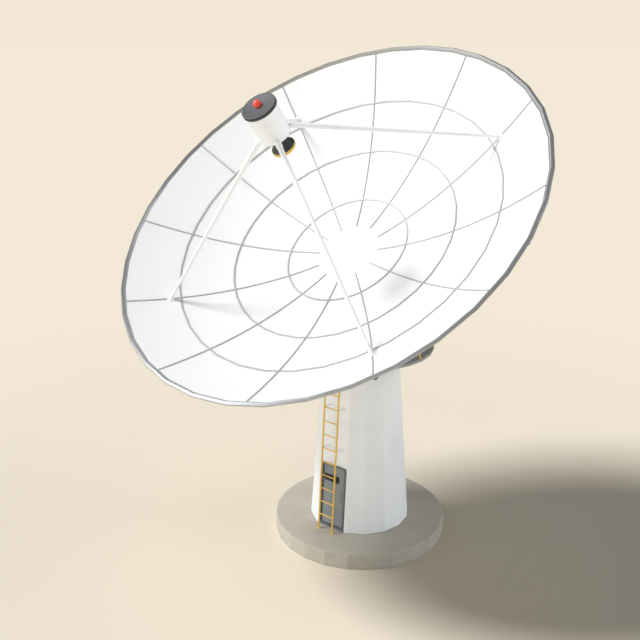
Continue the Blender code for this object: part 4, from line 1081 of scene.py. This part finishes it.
def build_drives():
    """The round cover over one axle end, and the gearbox and motor on the other: turned profiles on X."""
    face = ARM_OUTER + GAP
    cover = lathe([(0.24, 0.0), (0.24, 0.022), (0.20, 0.030), (0.185, 0.056), (0.17, 0.06), (0.02, 0.06)], 48)
    shape = joined(cover, bolt_circle(0.222, 12, 0.0235, 0.018), bolt_circle(0.10, 6, 0.06, 0.014))
    shape = standing(shape, (face, 0.0, PIVOT_HEIGHT), (1, 0, 0))
    piece("axle_end_cover", shape, "azimuth_head", "steel_dark", frame_enamel, ["axle_cover"])
    gearbox = lathe([
        (0.24, 0.0), (0.24, 0.024), (0.225, 0.03), (0.225, 0.085), (0.235, 0.09), (0.235, 0.11),
        (0.225, 0.115), (0.225, 0.17), (0.20, 0.196), (0.10, 0.20), (0.02, 0.20),
    ], 48)
    shape = joined(gearbox, bolt_circle(0.18, 8, 0.1975, 0.016))
    gear = standing(shape, (-face, 0, PIVOT_HEIGHT), (-1, 0, 0))
    x, y = -face - 0.10, 0.10
    motor = standing(motor_shape(0.105, 0.48), (x, y, PIVOT_HEIGHT - 0.13), (0, 0, -1))
    throat = bar((x, y, PIVOT_HEIGHT - 0.05), (x, y, PIVOT_HEIGHT - 0.15), 0.08, 24)
    shape = joined(gear, motor, throat)
    piece("elevation_gearbox", shape, "azimuth_head", "steel_dark", frame_enamel, ["elevation_drive"])


# Dish, in its own frame with the beam along Z

def dish_height(radius):
    """The paraboloid: vertex height plus r squared over four focal lengths."""
    return VERTEX_AHEAD + radius * radius / (4 * FOCAL_LENGTH)


def dish_slope(radius):
    """How steeply the paraboloid rises: r over two focal lengths."""
    return np.asarray(radius, float) / (2 * FOCAL_LENGTH)


def dish_points(radii, turns, depth=0.0):
    """Points on the faceted dish, or a depth behind it along its normal, with a row for each radius.

    The turns are one list for all rows, or a column or row of their own for each radius.
    """
    radii = np.atleast_1d(np.asarray(radii, float))[:, None]
    turns = np.atleast_2d(np.asarray(turns, float))
    length = np.hypot(dish_slope(radii), 1.0)
    reach = (radii + depth * dish_slope(radii) / length) * polygon_reach(turns, DISH_SIDES, 0.0)
    t = np.radians(turns)
    height = np.broadcast_to(dish_height(radii) - depth / length, reach.shape)
    return np.stack([reach * np.cos(t), reach * np.sin(t), height], axis=-1)


def surface_normals(radii, turn):
    """The dish's normals along one radius: (-slope cos t, -slope sin t, 1) made unit length."""
    return unit(np.array(UPWARDS) - dish_slope(radii)[:, None] * ray(turn))


def lying(radius):
    """Turns a section of (out, up) to lie on the dish at a radius: rows along the slope and across it."""
    out = unit(np.array([1.0, dish_slope(radius)]))
    return np.array([out, (-out[1], out[0])])


def wall(low_edge, high_edge, thickness):
    """A thin upright sheet between two matching rows of points, thickened sideways along its own normals."""
    along = unit(np.gradient(low_edge, axis=0))
    side = unit(np.cross(along, unit(high_edge - low_edge))) * thickness
    front = np.stack([low_edge, high_edge], axis=1)
    return sheet(front, front + side[:, None])


def build_panels():
    """Each petal has four framed plates: a thin skin, folded edges and two stiffeners behind it."""
    seams = (HUB_RADIUS, *RING_SEAMS, PANEL_RADIUS)
    half = PETAL_TURN / 2
    turns = np.linspace(-half, half, 7)
    for index in range(PETAL_COUNT):
        middle = PETAL_TURN * index
        skins, frames = [], []
        for start, end in zip(seams, seams[1:]):
            low = start + (0.0 if start == HUB_RADIUS else 0.002)
            high = end - (0.0 if end == PANEL_RADIUS else 0.002)
            radii = np.linspace(low, high, 9)
            # The side edges keep a straight gap of 3 mm, so they turn a little less near the rim
            edge = half - np.degrees(0.0015 / radii)[:, None]
            rows = middle + np.clip(turns, -edge, edge)
            skins.append(sheet(dish_points(radii, rows), dish_points(radii, rows, PANEL_SKIN)))
            frames += panel_edges(radii, middle)
        number = f"{index + 1:02d}"
        dish_piece("reflector_panel_" + number, joined(*skins), "dish_white", reflector_white,
                   ["dish_panel_" + number], crease=25)
        dish_piece("panel_frames_" + number, joined(*frames), "dish_white", panel_back)


def panel_edges(radii, middle):
    """Folded edges on a plate's four sides and two cross stiffeners: walls behind the surface."""
    made = []
    for side in (-1, 1):
        turns = middle + side * (PETAL_TURN / 2 - np.degrees(0.002 / radii)[:, None])
        near, far = (dish_points(radii, turns, depth)[:, 0] for depth in (PANEL_SKIN, PANEL_LIP))
        made.append(wall(near, far, -side * PANEL_SKIN))
    turns = middle + np.array([-14.9, -10.0, 0.0, 10.0, 14.9])
    first, last = radii[0], radii[-1]
    third = (last - first) / 3
    ends = [(first + 0.002, PANEL_LIP), (last - 0.002, PANEL_LIP)]
    for radius, lip in ends + [(first + third, 0.032), (last - third, 0.032)]:
        near, far = (dish_points(radius, turns, depth)[0] for depth in (PANEL_SKIN, lip))
        made.append(wall(near, far, PANEL_SKIN))
    return made


def build_vertex():
    """The plain middle plate: the dish's own curve and a thin underside carried round, with a thin edge."""
    edge = HUB_RADIUS - 0.002
    radii = np.array([0.02, 0.2, 0.4, 0.6, 0.75, edge])
    front = np.stack([radii, dish_height(radii)], axis=-1)
    back = front - np.stack([np.zeros(6), 0.004 * np.hypot(dish_slope(radii), 1)], axis=-1)
    bowl = lathe(np.concatenate([front, back[::-1]]), 72)
    rim_height = dish_height(HUB_RADIUS)
    rim = frame_band(circle(edge, 36), circle(edge - 0.004, 36), rim_height - 0.04, rim_height - 0.001)
    dish_piece("middle_plate", joined(bowl, rim), "dish_white", reflector_white, ["vertex_plate"], crease=20)


def strip_section(half, low, shoulder, high):
    """A cover strip's section as (across, up): a flat bar whose upper corners are cut by 6 mm."""
    right = np.array([(half, low), (half, shoulder), (half - 0.006, high)])
    return np.concatenate([right * (-1, 1), right[::-1]])


def build_seams():
    """Cover strips: radial ones along the petals' edges and three polygon rings, with rivets beside them.

    A radial strip is its section carried along the surface, at line + u across + v normal, and a ring
    strip is its section turned to lie on the surface and carried round.
    """
    radial, spots, normals = [], [], []
    radii = np.linspace(HUB_RADIUS + 0.005, PANEL_RADIUS - 0.002, 48)
    rows = np.arange(HUB_RADIUS + 0.08, PANEL_RADIUS - 0.03, 0.16)
    section = strip_section(0.019, 0.0, 0.016, 0.023)
    for turn in PETAL_TURN * (np.arange(PETAL_COUNT) + 0.5):
        across = ray(turn + 90)
        line = dish_points(radii, turn, -0.0005)
        rise = surface_normals(radii, turn)[:, None] * section[:, 1:]
        radial.append(stack(line + across * section[:, :1] + rise))
        for side in (-1, 1):
            spots.append(dish_points(rows, turn)[:, 0] + across * side * 0.034)
            normals.append(surface_normals(rows, turn))
    section = strip_section(0.024, 0.0005, 0.018, 0.026)
    rings = [lathe(section @ lying(radius) + (radius, dish_height(radius)), DISH_SIDES, closed=True)
             for radius in RING_SEAMS]
    dish_piece("radial_strips", joined(*radial), "rim_grey", seam_grey, crease=50)
    dish_piece("ring_strips", joined(*rings), "rim_grey", seam_grey, crease=50)
    heads = standing(rivet(0.012), np.concatenate(spots), np.concatenate(normals))
    dish_piece("panel_rivets", heads, "dish_white", reflector_white)


def build_hoop():
    """A folded section with a ridge, bent at 36 corners, and a slim sleeve on each second petal.

    The section's middle is half the hoop's width beyond the panels' edge, a little behind the surface.
    """
    turn = lying(PANEL_RADIUS)
    middle = (HOOP_TUBE + 2 * GAP, -HOOP_DROP) @ turn + (PANEL_RADIUS, dish_height(PANEL_RADIUS))
    section = np.array([
        (0.060, -0.0476), (0.066, -0.0455), (0.068, -0.0395), (0.068, -0.0145), (0.0415, 0.0435),
        (0.0385, 0.0465), (0.0345, 0.0455), (-0.064, -0.0025), (-0.068, -0.007), (-0.068, -0.040),
        (-0.066, -0.0455), (-0.060, -0.0476),
    ]) @ turn
    hoop = lathe(section + middle, DISH_SIDES, closed=True)
    dish_piece("rim_tube", hoop, "rim_grey", hoop_grey, ["rim_hoop"], crease=24)
    # A side's middle lies nearer to the beam than its corners, by the cosine of half a side's turn
    on_side = middle * (math.cos(math.pi / DISH_SIDES), 1.0)
    sleeve = prism(1.05 * section + on_side, -0.11, 0.11, "Y")
    dish_piece("rim_sleeves", turned(sleeve, 5.0 + 60.0 * np.arange(6)), "rim_grey", hoop_grey)


def rib_path(turn):
    """The middle line of a rib's tube: a fixed depth behind the dish, from the hub to the rim."""
    radii = np.linspace(DRUM_RADIUS + 0.03, RIB_END_RADIUS, 26)
    return dish_points(radii, turn, PANEL_DEPTH + RIB_TUBE + 3 * GAP)[:, 0]


def at_reach(path, reach):
    """The point of a path at a distance from the beam."""
    reaches = np.hypot(path[:, 0], path[:, 1])
    return np.array([np.interp(reach, reaches, path[:, axis]) for axis in range(3)])


def build_back_frame():
    """Eight trusses on a band round the hub: a curved tube, a straight chord and braces, with two hoops."""
    gussets = []
    outer, foot_reach = BAND_RADIUS + BAND_THICKNESS, BAND_RADIUS + 0.03
    band = [(BAND_RADIUS, BAND_LOW), (outer, BAND_LOW), (outer, BAND_HIGH), (BAND_RADIUS, BAND_HIGH)]
    shapes = [lathe(band, DISH_SIDES, closed=True)]
    for turn in 360.0 / RIB_COUNT * np.arange(RIB_COUNT):
        side = ray(turn + 90)
        path = rib_path(turn)
        start = ray(turn) * foot_reach + (0.0, 0.0, BAND_LOW + 0.10)
        end = at_reach(path, CHORD_REACH)
        shapes += [tube(path, RIB_TUBE, 20, up=side), tube([start, end], 0.045, 16, up=side)]
        # Each brace goes from a reach along the chord to a longer one along the rib
        for near, far in BRACES:
            share = (near - foot_reach) / (np.hypot(end[0], end[1]) - foot_reach)
            foot = start + (end - start) * share
            head = at_reach(path, far)
            shapes.append(tube([foot, head], 0.032, 14, up=side))
            gussets += [gusset(foot, head, side), gusset(head, foot, side)]
        along = unit(path[-1] - path[-2])
        shapes.append(bar(path[-1], path[-1] + along * 0.012, RIB_TUBE + 0.004, 20))
    for radius in RIB_HOOPS:
        reach, _, height = at_reach(rib_path(0.0), radius)
        around = at_height(circle(reach, 2 * RIB_COUNT), height - RIB_TUBE - 0.02)
        shapes.append(tube(around, 0.04, 14, closed=True))
    dish_piece("rib_trusses", joined(*shapes), "steel_dark", frame_enamel, ["back_frame"])
    dish_piece("rib_gussets", joined(*gussets), "steel_dark", frame_enamel)
    build_saddles()


def gusset(joint, away, side):
    """A thin plate in a truss's plane at the end of a brace: a tapered outline about the brace's line."""
    along = unit(away - joint)
    across = unit(np.cross(side, along))
    outline = [(-0.02, -0.075), (0.10, -0.04), (0.13, -0.02), (0.13, 0.02), (0.10, 0.04), (-0.02, 0.075)]
    plate = joint + outline @ np.array([along, across])
    return stack(np.stack([plate - side * 0.006, plate + side * 0.006]))


def build_saddles():
    """Flat plates between each rib and the panels, square to the surface's normal."""
    radii = np.array([1.3, 1.765, 2.5, 3.237, 3.95, 4.612, 5.3])
    plate = box((-0.045, -0.075, -0.006), (0.045, 0.075, 0.0))
    saddles = []
    for turn in 360.0 / RIB_COUNT * np.arange(RIB_COUNT):
        points = dish_points(radii, turn, PANEL_DEPTH + 0.0008)[:, 0]
        saddles.append(standing(plate, points, surface_normals(radii, turn), ray(turn)))
    dish_piece("rib_saddles", joined(*saddles), "steel_dark", galvanised)


def build_hub():
    """The drum behind the middle plate, a profile of its walls carried round, and its two rings of bolts."""
    drum, inner, groove = DRUM_RADIUS, DRUM_RADIUS - DRUM_WALL, DRUM_RADIUS - 0.006
    centre = VERTEX_AHEAD - PANEL_DEPTH - 2 * GAP
    rise = (dish_height(HUB_RADIUS) - VERTEX_AHEAD) * drum / HUB_RADIUS
    profile = [
        (0.02, centre), (drum, centre + rise), (drum, BAND_HIGH + 0.005), (groove, BAND_HIGH),
        (groove, BAND_LOW), (drum, BAND_LOW - 0.005), (drum, DRUM_BACK), (0.55, DRUM_BACK),
        (0.55, DRUM_BACK + DRUM_WALL), (inner, DRUM_BACK + DRUM_WALL), (inner, centre - DRUM_WALL),
        (0.02, centre - DRUM_WALL),
    ]
    dish_piece("hub_casing", lathe(profile, DISH_SIDES), "machine_grey", machine_grey, ["hub_drum"])
    ring = standing(bolt_circle(0.70, 24, 0.0, 0.026, 7.5), (0, 0, DRUM_BACK), (0, 0, -1))
    # The band's bolts stand on its many-sided wall, which reaches less far between its corners
    count, first = 24, 3.75
    around = circle(1.0, count, first)
    reach = polygon_reach(first + 360.0 / count * np.arange(count), DISH_SIDES, 0.0)
    seats = at_height(around * (DRUM_RADIUS + BAND_THICKNESS - 0.0005) * reach[:, None], BAND_HIGH - 0.04)
    bolts = joined(ring, standing(bolt(0.022), seats, at_height(around, 0.0)))
    dish_piece("hub_bolts", bolts, "machine_grey", galvanised)
    build_cradle()


def build_cradle():
    """Two cheek plates with a flange along their edges, the axle through them, and their bolts."""
    back = DRUM_BACK - GAP
    outline = [(-0.50, back), (-0.28, -0.25), (-0.20, -1.15), (0.20, -1.15), (0.28, -0.25), (0.50, back)]
    inner = inset(outline, 0.022)
    boss = lathe([(0.235, -0.04), (0.235, 0.04), (0.22, 0.046), (0.17, 0.046)], 48)
    ring = lathe([(0.18, -0.012), (0.18, 0.012)], 48)
    shapes = [bar((-0.64, 0, 0), (0.64, 0, 0), 0.17, 48)]
    shapes.append(standing(ring, [(x, 0, 0) for x in (-0.3, 0.0, 0.3)], (1, 0, 0)))
    bolts = []
    for side in (-1, 1):
        way, middle = (side, 0, 0), side * CHEEK_MIDDLE
        shapes += [
            frame_band(outline, inner, *sorted((side * CHEEK_INNER, side * CHEEK_OUTER)), "X"),
            prism(inner, middle - 0.012, middle + 0.012, "X"),
            standing(boss, (middle, 0, 0), way),
            bar((side * 0.63, 0, 0), (side * (ARM_INNER - GAP), 0, 0), 0.16, 48),
            bar((side * 0.76, 0, 0), (side * 0.975, 0, 0), 0.112, 48),
        ]
        ring_spots = at_height(circle(0.205, 10), side * (CHEEK_OUTER + 0.006), "X")
        x = side * (CHEEK_OUTER + 0.007)
        low_spots = [(x, y, -1.0 + 0.11 * row) for row in range(3) for y in (-0.12, 0.12)]
        bolts += [standing(bolt(0.024), ring_spots, way), standing(bolt(0.03), low_spots, way)]
    dish_piece("elevation_cheeks", joined(*shapes), "machine_grey", machine_grey, ["elevation_cradle"],
               bevel=0.003)
    dish_piece("cradle_bolts", joined(*bolts), "machine_grey", galvanised)
    build_counterweight()


def build_counterweight():
    """A pack of equal plates between the cheeks, 3 mm apart, on four rods."""
    half = CHEEK_INNER - GAP
    width = 2 * half / WEIGHT_PLATES
    outline = [(-0.34, -1.27), (0.34, -1.27), (0.34, -0.72), (-0.34, -0.72)]
    plate = prism(outline, -width / 2 + 0.0015, width / 2 - 0.0015, "X")
    places = -half + width * (np.arange(WEIGHT_PLATES) + 0.5)
    plates = shifted(plate, [(x, 0.0, 0.0) for x in places])
    rods = [bar((-0.579, y, z), (0.579, y, z), 0.02, 16) for y in (-0.26, 0.26) for z in (-1.19, -0.80)]
    shape = joined(plates, *rods)
    dish_piece("counterweight_plates", shape, "steel_dark", frame_enamel, ["counterweight"], bevel=0.004)


def build_struts():
    """Tapered tubes from bolted foot pads on the dish to collars on the receiver."""
    foot = dish_points(STRUT_FOOT_RADIUS, STRUT_TURN)[0, 0]
    normal = surface_normals([STRUT_FOOT_RADIUS], STRUT_TURN)[0]
    side = ray(STRUT_TURN + 90)
    start = foot + normal * 0.022
    head = ray(STRUT_TURN) * STRUT_HEAD[0] + (0.0, 0.0, STRUT_HEAD[1])
    along = unit(head - start)
    # The tube ends where it meets the receiver's wall
    reach = np.hypot(*start[:2])
    share = (reach - CABIN_RADIUS - 0.005) / (reach - np.hypot(*head[:2]))
    end = start + (head - start) * share
    collar = [end - along * 0.16, end - along * 0.15, end - along * 0.02]
    steps = np.linspace(0, 1, 9)
    sizes = STRUT_FOOT_TUBE + (STRUT_HEAD_TUBE - STRUT_FOOT_TUBE) * steps * share
    pad = lathe([(0.115, 0.0), (0.115, 0.012), (0.105, 0.018), (0.06, 0.020), (0.055, 0.05)], 32)
    strut = joined(
        tube(start + (end - start) * steps[:, None], sizes, 28, up=side),
        standing(pad, foot + normal * 0.005, normal),
        tube([start, start + along * 0.12, start + along * 0.13], [0.056, 0.052, 0.044], 28, up=side),
        tube(collar, [0.068, 0.078, 0.078], 28, up=side),
    )
    for index in range(4):
        dish_piece(f"receiver_strut_{index + 1}", turned(strut, 90.0 * index), "dish_white", strut_white,
                   [f"strut_{index + 1}"])
    spots, _ = standing((at_height(circle(0.09, 6), 0.0), []), foot + normal * 0.017, normal)
    bolts = standing(bolt(0.02), spots, normal)
    dish_piece("strut_bolts", turned(bolts, 90.0 * np.arange(4)), "dish_white", galvanised)


# Receiver at the focus

def build_receiver():
    """The round housing, a turned profile with a band at each end, with its hatch, screws, lid and horn.

    The hatch is a grid of r (cos t, sin t) at heights, 4 mm proud of the wall.
    """
    radius, band = CABIN_RADIUS, 0.05
    wall_radius, low, high = radius - 0.004, CABIN_LOW, CABIN_TOP
    body = lathe([
        (0.02, low), (radius - 0.006, low), (radius, low + 0.006), (radius, low + band),
        (wall_radius, low + band + 0.004), (wall_radius, high - band - 0.004), (radius, high - band),
        (radius, high), (0.02, high),
    ], 72)
    dish_piece("receiver_housing", body, "dish_white", strut_white, ["receiver_cabin"], crease=30)
    t = np.radians(CABIN_HATCH_TURN + np.linspace(-CABIN_HATCH_SPREAD, CABIN_HATCH_SPREAD, 15))
    hatch_radius, hatch_low, hatch_high = radius + 0.004, low + 0.16, high - 0.16
    outline = hatch_radius * np.stack([np.cos(t), np.sin(t)], axis=-1)
    grid = np.stack([at_height(outline, height) for height in np.linspace(hatch_low, hatch_high, 6)])
    hatch = sheet(grid, grid * (0.985, 0.985, 1.0))
    screws = []
    heights = np.linspace(hatch_low + 0.05, hatch_high - 0.05, 4)[:, None]
    inside = CABIN_HATCH_SPREAD - 4.5
    for way in (ray(CABIN_HATCH_TURN - inside), ray(CABIN_HATCH_TURN + inside)):
        screws.append(standing(bolt(0.018), way * hatch_radius + heights * UPWARDS, way))
    around = circle(1.0, 24, 7.5)
    for height in (low + 0.025, high - 0.025):
        spots = at_height(around * (radius - 0.0005), height)
        screws.append(standing(rivet(0.014), spots, at_height(around, 0.0)))
    dish_piece("receiver_hatch", hatch, "dish_white", strut_white)
    dish_piece("receiver_screws", joined(*screws), "dish_white", galvanised)
    build_lid()
    build_horn(CABIN_LOW - GAP)


def build_lid():
    """The lid, a black band round its side, bolts and beacon: turned profiles, with a quarter circle for the
    beacon's dome.

    The band has a seal's shape, and its black is painted shade for the lid's side.
    """
    low, high = CABIN_TOP + GAP, CAP_TOP
    lid = [
        (0.02, low), (0.426, low), (0.44, low + 0.003), (0.44, low + 0.018), (0.436, low + 0.021),
        (0.436, high - 0.009), (0.434, high - 0.003), (0.428, high), (0.398, high), (0.393, high - 0.003),
        (0.02, high - 0.003),
    ]
    dish_piece("receiver_lid", lathe(lid, 36), "cap_grey", cap_grey, ["receiver_cap"], crease=40)
    # A band round the lid's side with a seal's shape, in near-black as painted shade for the side
    seal = [
        (0.430, low + 0.022), (0.438, low + 0.022), (0.4395, low + 0.0245), (0.4395, high - 0.0145),
        (0.438, high - 0.012), (0.430, high - 0.012),
    ]
    dish_piece("lid_seal_side_shade", lathe(seal, 36, closed=True), "cap_grey", seal_side_shade_black, crease=50)
    dish_piece("lid_bolts", bolt_circle(0.413, 12, high, 0.014, 15.0), "cap_grey", cap_grey)
    foot = high - 0.003
    t = np.radians(np.linspace(0, 88, 13))
    arc = BEACON_RADIUS * np.stack([np.cos(t), np.sin(t)], axis=-1) + (0.0, foot + BEACON_STAND)
    dome = np.concatenate([[(0.075, foot + 0.001), (BEACON_RADIUS, foot + 0.001)], arc])
    dish_piece("beacon_dome", lathe(dome, 40), "beacon_red", beacon_lens, ["beacon"], crease=60)
    inner, top = BEACON_RADIUS + 0.0005, foot + 0.011
    collar = [(inner, foot), (0.101, foot), (0.101, foot + 0.008), (0.098, top), (inner, top)]
    dish_piece("beacon_collar", lathe(collar, 40, closed=True), "cap_grey", cap_grey)


def build_horn(top):
    """A flared horn: from mouth to throat the radius narrows by a quarter sine, with fine grooves."""
    throat = top - 0.06
    share = np.linspace(0, 1, 49)
    radius = HORN_MOUTH_RADIUS - (HORN_MOUTH_RADIUS - HORN_THROAT_RADIUS) * np.sin(share * math.pi / 2)
    height = HORN_MOUTH + (throat - HORN_MOUTH) * share
    groove = 0.0022
    ribs = groove * (np.sin(share * 2 * math.pi * 12) > 0)
    outer = np.stack([radius - groove + ribs, height], axis=-1)
    inner = np.stack([radius - 0.016 - ribs, height], axis=-1)
    floor = inner[-5] + (-0.02, 0.004)
    profile = np.concatenate([
        [(0.02, top), (0.155, top), (0.16, top - 0.005), (0.16, throat + 0.006), (0.155, throat)],
        outer[::-1], inner[:-4], [floor, (0.02, floor[1])],
    ])
    dish_piece("flared_horn", lathe(profile, 64), "horn_grey", horn_grey, ["feed_horn"], crease=40)
    end = HORN_MOUTH - GAP
    lip = [
        (0.283, end), (0.303, end), (0.306, end - 0.004), (0.306, end - 0.072), (0.302, end - 0.077),
        (0.295, end - 0.078), (0.286, end - 0.077), (0.282, end - 0.072), (0.282, end - 0.004),
    ]
    dish_piece("horn_lip", lathe(lip, 64, closed=True), "horn_yellow", horn_yellow, ["horn_ring"], crease=50)
    bolts = standing(bolt_circle(0.142, 8, 0.0, 0.016), (0, 0, throat), (0, 0, -1))
    dish_piece("horn_bolts", bolts, "horn_grey", galvanised)


# Floor, light and camera

def build_floor():
    """A wide pale disc, darker near the slab with painted shade; returns its object."""
    points, faces = lathe([(900.0, -0.02), (900.0, 0.0)], 96)
    mesh = bpy.data.meshes.new("floor")
    mesh.from_pydata(points, [], [face for group in faces for face in group.tolist()])
    ground = bpy.data.objects.new("floor", mesh)
    bpy.context.scene.collection.objects.link(ground)
    made, tree, shader = start_material("floor")
    reach = put(tree, "ShaderNodeVectorMath", {0: coordinates(tree)}, operation="LENGTH").outputs["Value"]
    # Painted shade: darkest near the slab and lighter by 7 m; beyond that the floor lightens to its far tone
    # by 26 m
    tone = mixed(tree, ramp(tree, reach, 2.4, 7.0), (0.80, 0.727, 0.602, 1.0), (0.885, 0.803, 0.664, 1.0))
    tone = mixed(tree, ramp(tree, reach, 6.0, 26.0), tone, (0.962, 0.872, 0.720, 1.0))
    tree.links.new(tone, shader.inputs["Base Color"])
    shader.inputs["Roughness"].default_value = 1.0
    shader.inputs["Specular IOR Level"].default_value = 0.0
    mesh.materials.append(made)
    return ground


def build_sky():
    """The camera sees a sky in the floor's tone; everything else is lit by a dimmer, cooler one."""
    world = bpy.data.worlds.new("sky")
    bpy.context.scene.world = world
    world.use_nodes = True
    tree = world.node_tree
    tree.nodes.clear()
    shown = put(tree, "ShaderNodeBackground", {"Color": (0.888, 0.807, 0.665, 1.0), "Strength": 1.0})
    light = put(tree, "ShaderNodeBackground", {"Color": (0.93, 0.96, 1.0, 1.0), "Strength": 0.16})
    seen = put(tree, "ShaderNodeLightPath").outputs["Is Camera Ray"]
    both = put(tree, "ShaderNodeMixShader", {0: seen, 1: light.outputs[0], 2: shown.outputs[0]})
    put(tree, "ShaderNodeOutputWorld", {"Surface": both.outputs[0]})


def build_lights():
    """A key light from the front left, a soft back light, and four low fills that leave the floor out.

    Of the fills only the left one shows in reflections, where it makes the shine on the hoop.
    """
    all_but_floor = bpy.data.collections.new("everything but the floor")
    all_but_floor.objects.link(build_floor())
    all_but_floor.collection_objects[0].light_linking.link_state = "EXCLUDE"
    # Name, direction towards it, strength, spread in degrees, colour, and whether it lights the floor
    for name, towards, strength, spread, colour, on_floor in (
        ("key", (-0.470, -0.430, 0.771), 2.95, 17.0, (1.0, 0.995, 0.985), True),
        ("back light", (0.688, 0.442, 0.574), 0.32, 30.0, (0.98, 0.99, 1.0), True),
        ("front right fill", (0.703, -0.703, 0.105), 0.86, 40.0, (0.94, 0.99, 1.05), False),
        ("right fill", (0.664, 0.664, 0.342), 1.12, 40.0, (0.94, 0.99, 1.05), False),
        ("left fill", (-0.703, -0.703, 0.105), 1.42, 40.0, (0.95, 0.99, 1.03), False),
        ("front fill", (0.0, -0.995, 0.105), 0.34, 40.0, (0.95, 0.99, 1.03), False),
    ):
        lamp = bpy.data.lights.new(name, "SUN")
        lamp.energy = strength
        lamp.angle = math.radians(spread)
        lamp.color = colour
        holder = bpy.data.objects.new(name, lamp)
        holder.rotation_mode = "QUATERNION"
        holder.rotation_quaternion = Vector(towards).to_track_quat("Z", "Y")
        bpy.context.scene.collection.objects.link(holder)
        if not on_floor:
            holder.light_linking.receiver_collection = all_but_floor
            holder.visible_glossy = name == "left fill"


def build_camera():
    """A camera at the photo's own place, looking along its own direction."""
    lens = bpy.data.cameras.new("camera")
    lens.lens = CAMERA_LENS
    lens.sensor_width = CAMERA_SENSOR
    lens.clip_end = 2500.0
    holder = bpy.data.objects.new("camera", lens)
    holder.location = CAMERA_PLACE
    holder.rotation_mode = "QUATERNION"
    holder.rotation_quaternion = Vector(CAMERA_AIM).to_track_quat("-Z", "Y")
    bpy.context.scene.collection.objects.link(holder)
    bpy.context.scene.camera = holder


bpy.context.scene.view_settings.view_transform = "Standard"
build_camera()
build_lights()
build_sky()
build_slab()
build_tower()
build_door()
build_ladder()
build_deck()
build_railing()
build_turntable()
build_yoke()
build_drives()
build_panels()
build_vertex()
build_seams()
build_hoop()
build_back_frame()
build_hub()
build_struts()
build_receiver()
